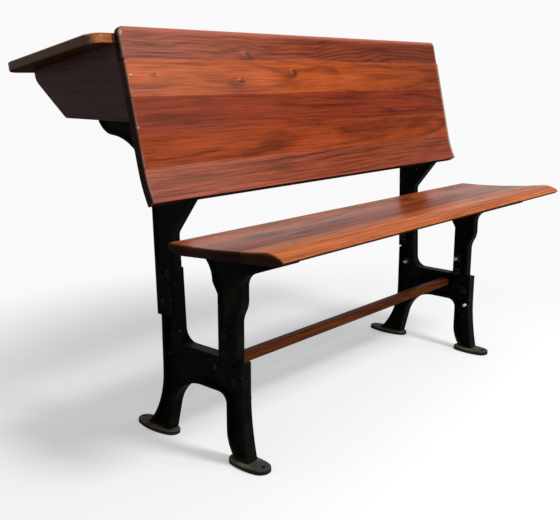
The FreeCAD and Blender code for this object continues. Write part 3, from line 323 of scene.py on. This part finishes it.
grain, given, result = new_group(
    "stained_pine",
    {"Vector": "Vector", "Seed": "Float", "Pale": "Color", "Dark": "Color", "Ring Width": "Float",
     "Heart Depth": "Float", "Heart Height": "Float", "Runout": "Float", "Waviness": "Float",
     "Lines": "Float", "Blotches": "Float"},
    {"Color": "Color", "Fleck": "Float", "Roughness": "Float", "Height": "Float"})
apart = put(grain, "ShaderNodeCombineXYZ", {0: times(grain, given["Seed"], 3.7)}).outputs[0]
place = reckon_vector(grain, "ADD", given["Vector"], apart)
length, depth, rise = split(grain, given["Vector"])
slow = minus(grain, drawn_out(grain, place, along=2.2, across=9.0), 0.5)
quick = minus(grain, drawn_out(grain, place, along=22.0, across=16.0), 0.5)
wander = times(grain, scaled(grain, quick, 0.22, slow), times(grain, given["Waviness"], 4.0))
rise = plus(grain, minus(grain, rise, given["Heart Height"]), wander)
depth = plus(grain, plus(grain, depth, given["Heart Depth"]), times(grain, length, given["Runout"]))
depth = scaled(grain, slow, 0.05, depth)
from_heart = reckon(grain, "SQRT", plus(grain, times(grain, rise, rise), times(grain, depth, depth)))
year = reckon(grain, "FRACT", reckon(grain, "DIVIDE", from_heart, given["Ring Width"]))
late_wood = times(grain, between(grain, year, 0.45, 0.82),
                  inverse(grain, between(grain, year, 0.86, 1.0)))
fibres = drawn_out(grain, place, along=13.0, across=560.0, detail=3.0, roughness=0.65)
threads = drawn_out(grain, place, along=5.0, across=230.0, detail=2.0, roughness=0.6)
streaks = drawn_out(grain, place, along=2.4, across=75.0, detail=3.0, roughness=0.55)
broad = drawn_out(grain, place, along=4.2, across=14.0, detail=3.0, roughness=0.5)
clear = between(grain, drawn_out(grain, place, along=2.6, across=32.0), 0.34, 0.62)
stain = times(grain, late_wood, clear, given["Lines"])
for pattern, amount in ((fibres, 0.9), (threads, 0.9), (streaks, 1.1)):
    stain = scaled(grain, minus(grain, pattern, 0.47), amount, stain)
blotched = times(grain, between(grain, broad, 0.45, 0.72), given["Blotches"])
stain = put(grain, "ShaderNodeClamp", {0: plus(grain, stain, blotched)}).outputs[0]
fleck = scaled(grain, minus(grain, 0.5, fibres), 1.1, 1.0)
fleck = scaled(grain, minus(grain, 0.5, threads), 0.8, fleck)
feed(grain, result, {
    "Color": tint(grain, stain, given["Pale"], given["Dark"]),
    "Fleck": scaled(grain, times(grain, late_wood, given["Lines"]), -0.22, fleck),
    "Roughness": scaled(grain, streaks, 0.16, 0.24),
    "Height": plus(grain, times(grain, late_wood, -0.5), fibres)})

knot, given, result = new_group(
    "knot",
    {"Vector": "Vector", "Along": "Float", "Up": "Float", "Size": "Float"},
    {"Vector": "Vector"})
length, depth, rise = split(knot, given["Vector"])
along = reckon(knot, "DIVIDE", minus(knot, length, given["Along"]), given["Size"])
up = reckon(knot, "DIVIDE", minus(knot, rise, given["Up"]), given["Size"])
far = plus(knot, times(knot, along, along, 0.10), times(knot, up, up, 0.22))
near = reckon(knot, "EXPONENT", times(knot, far, -1.0))
push = times(knot, near, reckon(knot, "TANH", up), times(knot, given["Size"], -0.9))
bent = put(knot, "ShaderNodeCombineXYZ", {0: length, 1: depth, 2: plus(knot, rise, push)})
feed(knot, result, {"Vector": bent.outputs[0]})


def oval(tree, vector, along, up, length, width):
    """1 at the middle of an oval on the board's face, fading to 0 at its rim."""
    right_through = 1000.0
    links = {"Vector": vector, "Location": (along, 0, up), "Scale": (length, right_through, width)}
    local = put(tree, "ShaderNodeMapping", links, vector_type="TEXTURE").outputs[0]
    out = put(tree, "ShaderNodeVectorMath", {0: local}, operation="LENGTH").outputs["Value"]
    return between(tree, out, 1.0, 0.0)


bare_wood_and_glint = (0.72, 0.50, 0.40, 1)
knot_core = (0.085, 0.019, 0.006, 1)
painted_sheen_colour = (0.13, 0.085, 0.070, 1)
painted_shade_colour = (0.30, 0.26, 0.30, 1)
bruise_and_glint_colour = (0.50, 0.37, 0.31, 1)
# Bands in metres, along the desk or across a board, over which a change of finish or a painted sheen,
# shade or highlight comes in
sheen_band = (-0.05, 0.55)
shade_band = (-0.1, 0.5)
far_end_band = (0.502, 0.513)
crest_depth = 0.014
hollow_back = (0.026, 0.066)
hollow_front = (0.090, 0.135)
flare_band = (0.22, 0.5)
flare_reach = 0.07
# Bands of a normal's part over which a face comes to look down, endways or past the outer arris
looks_down = (0.25, 0.7)
looks_endways = (0.45, 0.9)
past_arris = (0.12, 0.62)


def board_axes(tree, place, origin, turn):
    """A board's own axes, and the same axes shaken to give marks a ragged rim."""
    links = {"Vector": place, "Location": origin, "Rotation": tuple(radians(part) for part in turn)}
    own = put(tree, "ShaderNodeMapping", links, vector_type="TEXTURE").outputs[0]
    drawn = reckon_vector(tree, "MULTIPLY", own, (14.0, 60.0, 60.0))
    shake = put(tree, "ShaderNodeTexNoise", {"Vector": drawn, "Scale": 1.0, "Detail": 3.0}).outputs[1]
    shake = reckon_vector(tree, "SUBTRACT", shake, (0.5, 0.5, 0.5))
    return own, reckon_vector(tree, "MULTIPLY_ADD", shake, (0.05, 0.0, 0.022), own)


def lay_marks(tree, colour, ragged, pale, dark, knots, patches):
    """Lay a board's paler and darker patches over its grain, some of them painted highlights and
    reflections, and then its knots.
    """
    # The paler colours serve painted highlights as well as pale stain and nicks, and the darker one
    # painted reflections on the seat as well as dark stain
    bright = shifted(pale, 1.35, 0.01)
    brown = shifted(dark, 0.55)
    for along, up, length, width, tone in patches:
        over = bare_wood_and_glint if tone == 1 else bright if tone > 0 else brown
        patch = oval(tree, ragged, along, up, length, width)
        colour = tint(tree, times(tree, patch, abs(tone)), colour, over)
    for along, up, size in knots:
        smear = oval(tree, ragged, along - 1.6*size, up - 0.9*size, 4.2*size, 1.8*size)
        colour = tint(tree, times(tree, smear, 0.75), colour, brown)
        eye = oval(tree, ragged, along - 1.1*size, up + 0.55*size, 1.5*size, 0.9*size)
        colour = tint(tree, times(tree, eye, 0.75), colour, bright)
        core = between(tree, oval(tree, ragged, along, up, 1.5*size, 1.2*size), 0.0, 0.7)
        colour = tint(tree, times(tree, core, 0.8), colour, knot_core)
    return colour


def age_ends_and_paint_glint(tree, colour, facing, turned, across, worn, ends, end_stain, upright, bruise_and_glint):
    """Soak stain into a board's ends up to the outer arris, bruise that arris and paint a highlight along
    it, and paint a glint on the right end's arris.
    """
    outer = times(tree, turned[1], -1.0) if upright else turned[2]
    inner = inverse(tree, between(tree, outer, *past_arris))
    end_faces = between(tree, reckon(tree, "ABSOLUTE", facing[0]), *looks_endways)
    colour = tint(tree, times(tree, end_faces, inner, ends), colour, end_stain + (1,))
    if bruise_and_glint:
        corner = times(tree, between(tree, reckon(tree, "ABSOLUTE", turned[0]), 0.2, 0.5),
                       between(tree, outer, 0.3, 0.6))
        # The worn share of the bruises is knocks; the steady share is a painted highlight along the arris,
        # and the right end's arris gets a painted glint
        bruises_and_glint = scaled(tree, worn, 0.6*bruise_and_glint, 0.4*bruise_and_glint)
        painted_end_glint = times(tree, between(tree, across, *far_end_band), 0.75)
        bruises_and_glint = reckon(tree, "MAXIMUM", times(tree, corner, bruises_and_glint), painted_end_glint)
        colour = tint(tree, bruises_and_glint, colour, bruise_and_glint_colour)
    return colour


def polish_hollow(tree, varnish, ragged, across, polish):
    """Add the shine of the seat's hollow, polished by sitting and wider toward the right."""
    front = times(tree, split(tree, ragged)[2], -1.0)
    flare = times(tree, between(tree, across, *flare_band), flare_reach)
    hollow = minus(tree, between(tree, front, *hollow_back),
                   between(tree, minus(tree, front, flare), *hollow_front))
    hollow = put(tree, "ShaderNodeClamp", {0: hollow}).outputs[0]
    return scaled(tree, hollow, polish, varnish)


def stained_board(node, origin, turn, seed, pale, dark, ring, heart, lines, blotches, runout=0.0,
                  wave=0.006, figure=1.0, gloss=0.035, coat=0.02, polish=0.0, wear=0.35, ease=0.0025,
                  ends=0.96, end_stain=(0.008, 0.005, 0.004), upright=False, bruise_and_glint=0.0, crest=0.0,
                  left_sheen=0.0, shade=0.0, knots=(), patches=()):
    """Give a CAD board stained and varnished pine, with the grain along the board's own length.

    origin, turn: the place and the turn in degrees of the board's own axes, length and face
    ring, heart: width of a year ring, and the tree's heart behind and above the origin
    runout, wave: how far the grain leaves the length, and how far it wanders
    lines, blotches, figure: strength of the rings, of uneven stain and of the fine fibres
    gloss, coat, polish: shine of the stain, of the varnish and of the hollow rubbed by sitting
    wear, ease: how much stain the arrises have lost, and how round they look
    ends, end_stain: how much stain the ends took up, and its colour
    upright, bruise_and_glint: whether the face looks forward, and how bruised the arrises of its ends are
    and how strong the highlight painted along them
    crest: height of a top edge with a painted highlight; left_sheen, shade: painted sheen to the left,
    painted shade to the right
    knots: rows of along, up and size
    patches: rows of along, up, length, width and tone, dark below 0, pale above, bare wood at 1; some are
    painted highlights and reflections
    """
    made, tree, surface = new_material(node + "_pine")
    where = put(tree, "ShaderNodeTexCoord", {}).outputs
    place = where["Object"]
    across = split(tree, place)[0]
    facing = split(tree, where["Normal"])

    # The board's own axes, with the grain bent round the knots
    own, ragged = board_axes(tree, place, origin, turn)
    for along, up, size in knots:
        own = put(tree, "ShaderNodeGroup", {"Vector": own, "Along": along, "Up": up, "Size": size},
                  node_tree=knot).outputs["Vector"]

    # Grain, marks and uneven colour from end to end
    wood = put(tree, "ShaderNodeGroup",
               {"Vector": own, "Seed": seed, "Pale": pale + (1,), "Dark": dark + (1,), "Ring Width": ring,
                "Heart Depth": heart[0], "Heart Height": heart[1], "Runout": runout, "Waviness": wave,
                "Lines": lines, "Blotches": blotches}, node_tree=grain).outputs
    colour = lay_marks(tree, wood["Color"], ragged, pale, dark, knots, patches)
    # Painted sheen: a pale veil added toward the left end, standing in for the varnish's reflection of the
    # light
    if left_sheen:
        painted_sheen = times(tree, between(tree, times(tree, across, -1.0), *sheen_band), left_sheen)
        colour = tint(tree, painted_sheen, colour, painted_sheen_colour, "ADD")
    # Painted shade: the colour is darkened toward the right end, where less light falls
    if shade:
        painted_shade = times(tree, between(tree, across, *shade_band), shade)
        colour = tint(tree, painted_shade, colour, painted_shade_colour, "MULTIPLY")
    fleck = scaled(tree, wood["Fleck"], figure, 1.0 - figure)
    colour = put(tree, "ShaderNodeVectorMath", {0: colour, "Scale": fleck}, operation="SCALE").outputs[0]

    # Underside painted near black as shade and left without varnish; arrises rubbed pale, and a painted
    # highlight along the top edge
    # Painted shade: faces that look down take a tenth of the dark stain
    shaded_underside = times(tree, between(tree, times(tree, facing[2], -1.0), *looks_down), 0.95)
    colour = tint(tree, shaded_underside, colour, shifted(dark, 0.1))
    edge = put(tree, "ShaderNodeGroup", {"Vector": place, "Radius": ease, "Patchiness": 40.0},
               node_tree=arris).outputs
    touched = scaled(tree, shaded_underside, -wear, wear)
    colour = tint(tree, times(tree, edge["Worn"], touched), colour, shifted(pale, 1.35, 0.02))
    # Painted highlight: a pale band along the top edge, where the rounded arris catches the light
    if crest:
        painted_top_highlight = between(tree, split(tree, own)[2], crest - crest_depth, crest)
        colour = tint(tree, times(tree, painted_top_highlight, 0.8), colour, shifted(pale, 1.9, 0.08))

    # The ends, from the rounded normal in the board's axes
    eased = put(tree, "ShaderNodeVectorTransform", {0: edge["Normal"]}, vector_type="NORMAL",
                convert_from="WORLD", convert_to="OBJECT").outputs[0]
    turned = split(tree, eased)
    if ends:
        colour = age_ends_and_paint_glint(tree, colour, facing, turned, across, edge["Worn"], ends, end_stain,
                          upright, bruise_and_glint)

    # Relief: round arrises at the ends only, so that the joints between boards stay flat.
    # A mix node has its vectors at 4 and 5, and the result at 1
    toward_end = reckon(tree, "ABSOLUTE", minus(tree, turned[0], facing[0]))
    flat = put(tree, "ShaderNodeNewGeometry", {}).outputs["Normal"]
    rounded = put(tree, "ShaderNodeMix", {0: between(tree, toward_end, 0.02, 0.15), 4: flat,
                                          5: edge["Normal"]}, data_type="VECTOR").outputs[1]
    relief = put(tree, "ShaderNodeBump", {"Strength": 0.18, "Distance": 0.0005,
                                          "Height": wood["Height"], "Normal": rounded})

    # Varnish on all but the underside
    varnish = times(tree, inverse(tree, shaded_underside), coat)
    if polish:
        varnish = polish_hollow(tree, varnish, ragged, across, polish)
    feed(tree, surface, {"Base Color": colour, "Normal": relief.outputs[0],
                         "Roughness": scaled(tree, shaded_underside, 0.5, wood["Roughness"]),
                         "Specular IOR Level": gloss, "Coat Weight": varnish,
                         "Coat Roughness": 0.11 if polish else 0.22})
    dress(node, made)


stained_board(
    "stretcher_rail", origin=(0, -0.06, 0.2), turn=(0, 0, 0), seed=1.0,
    pale=(0.175, 0.046, 0.014), dark=(0.060, 0.016, 0.006),
    ring=0.004, heart=(0.08, 0.02), wave=0.004, lines=0.4, blotches=0.5, gloss=0.01, coat=0.0)
dress("stretcher_screws", nut_steel)


# Seat: three pine boards joined edge to edge and dished for sitting, with a rounded nose at
# the front. The varnish is glossy from use, with a painted highlight along the nose, and the boards
# are held down by slotted steel screws let in flush.
seat_lean = -3.9
seat_axes = {"origin": (0, -0.032, 0.42), "turn": (seat_lean - 90, 0, 0)}
seat_finish = {"wave": 0.004, "gloss": 0.02, "coat": 0.01, "polish": 0.11, "wear": 0.25, "ease": 0.007}
# The patches on the back and middle seat boards are partly uneven stain and partly painted reflections in
# the glossy varnish
stained_board(
    "seat_board_back", seed=2.0, pale=(0.470, 0.112, 0.034), dark=(0.165, 0.030, 0.009),
    ring=0.009, heart=(0.05, -0.04), runout=0.03, lines=0.5, blotches=0.45, left_sheen=0.2,
    patches=((-0.40, -0.040, 0.10, 0.018, 0.6), (-0.18, -0.026, 0.14, 0.012, 0.7),
             (-0.369, -0.078, 0.07, 0.018, -0.9), (-0.18, -0.062, 0.09, 0.014, -0.8),
             (0.159, -0.050, 0.06, 0.030, -0.8)), **seat_axes, **seat_finish)
stained_board(
    "seat_board_middle", seed=3.0, pale=(0.310, 0.064, 0.018), dark=(0.095, 0.018, 0.007),
    ring=0.010, heart=(0.04, -0.13), runout=-0.05, lines=0.5, blotches=0.6, left_sheen=0.1,
    patches=((-0.43, -0.130, 0.10, 0.020, 0.6), (-0.05, -0.130, 0.15, 0.015, 0.4),
             (-0.36, -0.095, 0.08, 0.018, -0.8), (-0.16, -0.100, 0.10, 0.020, -0.7),
             (0.278, -0.110, 0.05, 0.040, -0.7)), **seat_axes, **seat_finish)
# The front board's first patch is a painted highlight along the ridge of the nose
stained_board(
    "seat_board_front", seed=4.0, pale=(0.580, 0.150, 0.042), dark=(0.250, 0.050, 0.014),
    ring=0.008, heart=(0.07, -0.20), runout=0.02, lines=0.4, blotches=0.3, left_sheen=0.2,
    patches=((-0.1, -0.228, 0.75, 0.014, 0.95), (-0.2, -0.172, 0.3, 0.024, -0.4)),
    **seat_axes, **seat_finish)
screw_steel = metal("screw_steel", (0.46, 0.42, 0.39), (0.16, 0.11, 0.09),
                    share=0.4, metallic=0.3, gloss=0.3)


def slotted_screw(spot, lean, slot_turn, radius, length):
    """A countersunk wood screw with a slot sawn across its head, the head's middle at the spot."""
    screw = bmesh.new()
    shank = 0.45*radius
    lathe(screw, [(0.0, 0.0), (0.0, 0.9*radius), (-0.06*radius, radius), (-0.15*radius, radius),
                  (-0.7*radius, shank), (-0.8*length, shank), (-length, 0.0)], Vector((0, 0, 1)))
    half_slot = 0.14*radius
    slot_depth = 0.3*radius
    level_enough = 0.99
    for edge in (-half_slot, half_slot):
        top = [face for face in screw.faces if face.normal.z > level_enough]
        around = dict.fromkeys(part for face in top for part in list(face.edges) + list(face.verts))
        bmesh.ops.bisect_plane(screw, geom=top + list(around), dist=1e-7, plane_co=(0, edge, 0),
                               plane_no=(0, 1, 0))
    sawn = [face for face in screw.faces
            if face.normal.z > level_enough and abs(face.calc_center_median().y) < half_slot]
    slot_floor = [part for part in bmesh.ops.extrude_face_region(screw, geom=sawn)["geom"]
                  if isinstance(part, bmesh.types.BMVert)]
    bmesh.ops.translate(screw, verts=slot_floor, vec=(0, 0, -slot_depth))
    place = Matrix.Translation(spot) @ Matrix.Rotation(radians(lean), 4, "X")
    place = place @ Matrix.Rotation(radians(slot_turn), 4, "Z")
    bmesh.ops.transform(screw, matrix=place, verts=screw.verts)
    return screw


seat_screw_x = 0.421
seat_heads = []
for y, z, slot_turns in ((-0.0591, 0.41836, (25, -50)), (-0.2322, 0.43006, (-15, 65))):
    for x, slot_turn in zip((-seat_screw_x, seat_screw_x), slot_turns):
        seat_heads.append(slotted_screw((x, y, z), seat_lean, slot_turn, radius=0.005, length=0.024))
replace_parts(as_piece("seat_slotted_screws", seat_heads, screw_steel, "desk"), "seat_screws")


# Back rest: five pine boards glued edge to edge into one panel, the lowest bent to the
# sitter's back. Each board took the stain differently, so the panel is banded from dull
# crimson to orange, with a few small knots.
back_axes = {"origin": (0, 0.0155, 0.541), "turn": (-13.4, 0, 0)}
back_top_edge = 0.245
back_finish = {"gloss": 0.03, "coat": 0.015, "wear": 0.35, "ease": 0.009, "bruise_and_glint": 0.7, "upright": True}
# Board 1's last patch is a painted highlight on its rounded top-left corner
stained_board(
    "back_board_1", seed=5.0, pale=(0.275, 0.052, 0.020), dark=(0.060, 0.010, 0.005),
    ring=0.0058, heart=(0.11, 0.12), runout=-0.03, wave=0.006, lines=0.5, blotches=0.45, left_sheen=0.8,
    shade=0.5, crest=back_top_edge, knots=((-0.207, 0.199, 0.009),),
    patches=((-0.06, 0.192, 0.16, 0.009, 0.8), (0.27, 0.219, 0.12, 0.016, -0.4),
             (-0.5115, 0.235, 0.004, 0.006, 1.0)), **back_axes, **back_finish)
stained_board(
    "back_board_2", seed=6.0, pale=(0.450, 0.084, 0.015), dark=(0.200, 0.030, 0.007),
    ring=0.011, heart=(0.05, 0.155), runout=0.03, wave=0.005, lines=0.45, blotches=0.45, left_sheen=0.65,
    shade=0.55, knots=((-0.240, 0.149, 0.0075), (-0.074, 0.164, 0.0075), (-0.448, 0.160, 0.003)),
    patches=((-0.167, 0.156, 0.07, 0.024, 0.6), (0.087, 0.149, 0.16, 0.024, 0.5),
             (-0.095, 0.140, 0.055, 0.012, -0.5), (-0.258, 0.133, 0.06, 0.010, -0.35),
             (-0.513, 0.183, 0.006, 0.0022, 1.0), (-0.511, 0.162, 0.008, 0.0022, 1.0)),
    **back_axes, **back_finish)
stained_board(
    "back_board_3", seed=7.0, pale=(0.275, 0.038, 0.010), dark=(0.110, 0.014, 0.005),
    ring=0.010, heart=(0.09, 0.02), runout=0.015, wave=0.004, lines=0.45, blotches=0.5, left_sheen=0.2,
    shade=0.2, patches=((-0.41, 0.080, 0.16, 0.016, -0.4), (-0.12, 0.102, 0.07, 0.014, -0.4),
                        (0.262, 0.070, 0.06, 0.016, -0.4), (-0.22, 0.095, 0.12, 0.012, 0.35),
                        (-0.513, 0.070, 0.006, 0.0022, 1.0)), **back_axes, **back_finish)
stained_board(
    "back_board_4", seed=8.0, pale=(0.350, 0.056, 0.010), dark=(0.130, 0.018, 0.005),
    ring=0.012, heart=(0.035, 0.03), runout=0.05, wave=0.007, lines=0.4, blotches=0.75, left_sheen=0.06,
    patches=((-0.34, 0.034, 0.15, 0.026, 0.5), (-0.187, 0.022, 0.055, 0.024, -0.6),
             (-0.021, 0.016, 0.16, 0.024, 0.4), (-0.250, 0.004, 0.05, 0.007, -0.5)),
    **back_axes, **back_finish)
stained_board(
    "back_board_5", seed=9.0, pale=(0.340, 0.070, 0.026), dark=(0.105, 0.017, 0.008),
    ring=0.0055, heart=(0.10, 0.06), runout=0.01, wave=0.003, lines=0.5, blotches=0.3, left_sheen=0.7,
    shade=0.3, patches=((-0.36, -0.006, 0.12, 0.008, 0.6), (0.1, -0.012, 0.2, 0.010, -0.4)),
    **back_axes, **back_finish)
dress("back_screws", screw_steel)


# Book box under the top: two shaped end boards, a bottom, a sloping knee board and a rear
# rail, nailed and screwed pine stained nearly black-brown and left without varnish.
box_finish = {"pale": (0.070, 0.038, 0.034), "dark": (0.040, 0.022, 0.020), "ring": 0.006, "coat": 0.0,
              "wear": 0.2}
for name, seed in (("box_left_side", 10.0), ("box_right_side", 11.0)):
    stained_board(name, (0, 0.1, 0.69), (0, 0, 90), seed, heart=(0.05, 0.02), runout=0.05, lines=0.15,
                  blotches=0.35, ends=0.0, figure=0.4, **box_finish)
for name, seed, tilt in (("box_bottom", 12.0, -90), ("knee_board", 13.0, -45), ("box_rear_rail", 14.0, 0)):
    stained_board(name, (0, 0.1, 0.65), (tilt, 0, 0), seed, heart=(0.06, 0.05), runout=0.03, lines=0.5,
                  blotches=0.5, **box_finish)
dress("box_screws", screw_steel)


# Desk top: a fixed hinge strip with two inkwell holes, and a lift lid of two joined boards
# with battens screwed across below. All pine, stained to match the seat and worn by sleeves.
top_slope = 10
top_edge = (0, 0.08784, 0.767)
top_axes = {"origin": top_edge, "turn": (-90 - top_slope, 0, 0)}
top_finish = {"gloss": 0.045, "coat": 0.05, "wear": 0.35, "ease": 0.004,
              "end_stain": (0.085, 0.046, 0.025)}
# The hinge strip's two patches are a painted highlight on its rounded front-left corner
stained_board(
    "hinge_strip", seed=15.0, pale=(0.480, 0.150, 0.058), dark=(0.200, 0.052, 0.021),
    ring=0.005, heart=(0.06, 0.03), runout=0.02, lines=0.4, blotches=0.4,
    patches=((-0.545, 0.014, 0.05, 0.016, 0.95), (-0.548, 0.016, 0.03, 0.009, 1.0)),
    **top_axes, **top_finish)
stained_board(
    "lid_board_rear", seed=16.0, pale=(0.330, 0.080, 0.030), dark=(0.140, 0.030, 0.013),
    ring=0.0055, heart=(0.04, 0.12), runout=0.05, lines=0.55, blotches=0.5, **top_axes, **top_finish)
stained_board(
    "lid_board_front", seed=17.0, pale=(0.360, 0.092, 0.034), dark=(0.150, 0.034, 0.014),
    ring=0.0055, heart=(0.05, 0.22), runout=-0.03, lines=0.5, blotches=0.5, **top_axes, **top_finish)
for name, seed in (("lid_left_batten", 18.0), ("lid_right_batten", 19.0)):
    stained_board(name, (0, 0.2, 0.73), (0, 0, 90), seed, (0.17, 0.06, 0.03), (0.07, 0.024, 0.014),
                  ring=0.005, heart=(0.05, 0.0), lines=0.5, blotches=0.5, coat=0.0, wear=0.2, ends=0.0)


# Butt hinges: two cast-brass hinges let into the strip and the lid, browned with age and
# rubbed yellow on the knuckles. Each leaf is held by three slotted brass screws.
hinge_brass = metal("aged_brass", (0.36, 0.235, 0.095), (0.19, 0.118, 0.048), share=0.5, metallic=0.85)
for side in ("left", "right"):
    for part in ("hinge_strip_leaf", "hinge_lid_leaf", "hinge_pin"):
        dress(side + "_" + part, hinge_brass)
screw_brass = metal("screw_brass", (0.30, 0.195, 0.080), (0.12, 0.075, 0.032), share=0.5, metallic=0.85)
hinge_x = 0.36
screw_gap = 0.021
screw_proud = 0.0002
strip_row, lid_row = 0.053, 0.085
down_slope = Vector((0, cos(radians(top_slope)), -sin(radians(top_slope))))
for name, along, body in (("hinge_strip_screws", strip_row, "desk"), ("hinge_lid_screws", lid_row, "lid")):
    heads = []
    for middle in (-hinge_x, hinge_x):
        for step, slot_turn in ((-screw_gap, 20), (0.0, -35), (screw_gap, 70)):
            spot = Vector(top_edge) + down_slope*along + Vector((middle + step, 0, screw_proud))
            heads.append(slotted_screw(spot, -top_slope, slot_turn, radius=0.0034, length=0.012))
    as_piece(name, heads, screw_brass, body)


# Floor: a plain pale sheet of studio paper laid just under the feet. It takes the desk's shadow
# and fades into the white background.
floor_reach = 12.0
floor_drop = 0.0006
fade_start, fade_end = 0.6, 1.3
paper_grey = (0.86, 0.86, 0.86, 1)
pure_white = (1, 1, 1, 1)
floor_lift = 0.38
faded_level = 0.95
floor_mesh = bpy.data.meshes.new("floor")
shape = bmesh.new()
bmesh.ops.create_grid(shape, x_segments=1, y_segments=1, size=floor_reach)
bmesh.ops.translate(shape, verts=shape.verts, vec=(0, 0, -floor_drop))
shape.to_mesh(floor_mesh)
shape.free()
floor = bpy.data.objects.new("floor", floor_mesh)
bpy.context.collection.objects.link(floor)
paper, tree, surface = new_material("floor_paper")
feed(tree, surface, {"Base Color": paper_grey, "Roughness": 0.9, "Specular IOR Level": 0.1})
place = put(tree, "ShaderNodeTexCoord", {}).outputs["Object"]
away = put(tree, "ShaderNodeVectorMath", {0: place}, operation="LENGTH").outputs["Value"]
ray = put(tree, "ShaderNodeLightPath", {}).outputs
seen = reckon(tree, "MAXIMUM", ray["Is Camera Ray"], ray["Is Transmission Ray"])
lift = put(tree, "ShaderNodeEmission", {"Color": pure_white, "Strength": times(tree, seen, floor_lift)})
lifted = put(tree, "ShaderNodeAddShader", {0: surface.outputs[0], 1: lift.outputs[0]}).outputs[0]
white = put(tree, "ShaderNodeEmission", {"Color": pure_white, "Strength": faded_level}).outputs[0]
faded = times(tree, seen, between(tree, away, fade_start, fade_end))
mixed = put(tree, "ShaderNodeMixShader", {0: faded, 1: lifted, 2: white}).outputs[0]
feed(tree, tree.nodes["Material Output"], {"Surface": mixed})
floor_mesh.materials.append(paper)


# Studio: a soft lamp above the front, a weaker and wider one at the front right, a pale surround
# that shows white, and the camera at the photograph's height and angle.
for name, spot, aim, width, power in (
        ("soft_box", (0.2, -2.0, 2.3), (0, -0.1, 0.45), 0.65, 49.0),
        ("window", (1.4, -2.1, 1.35), (-0.1, 0, 0.4), 1.2, 9.0)):
    lamp = bpy.data.lights.new(name, "AREA")
    lamp.shape = "DISK"
    lamp.size = width
    lamp.energy = power
    holder = bpy.data.objects.new(name, lamp)
    holder.location = spot
    holder.rotation_euler = (Vector(aim) - Vector(spot)).to_track_quat("-Z", "Y").to_euler()
    bpy.context.collection.objects.link(holder)

surround_light = 0.25
shown_extra = 0.7
sky = bpy.data.worlds.new("studio")
sky.use_nodes = True
tree = sky.node_tree
ray = put(tree, "ShaderNodeLightPath", {}).outputs
mirrored = reckon(tree, "MAXIMUM", ray["Is Glossy Ray"], ray["Is Transmission Ray"])
shown = reckon(tree, "MAXIMUM", ray["Is Camera Ray"], mirrored)
level = scaled(tree, shown, shown_extra, surround_light)
feed(tree, tree.nodes["Background"], {"Color": pure_white, "Strength": level})
bpy.context.scene.world = sky

look_down = 13.2
look_right = 48.65
roll = -0.06
lens = bpy.data.cameras.new("camera")
lens.sensor_width = 36.0
lens.lens = 51.2
camera = bpy.data.objects.new("camera", lens)
camera.location = (-1.3811, -1.0563, 0.700)
camera.rotation_euler = (radians(90 - look_down), radians(roll), radians(-look_right))
bpy.context.collection.objects.link(camera)
bpy.context.scene.camera = camera
bpy.context.scene.view_settings.view_transform = "Standard"
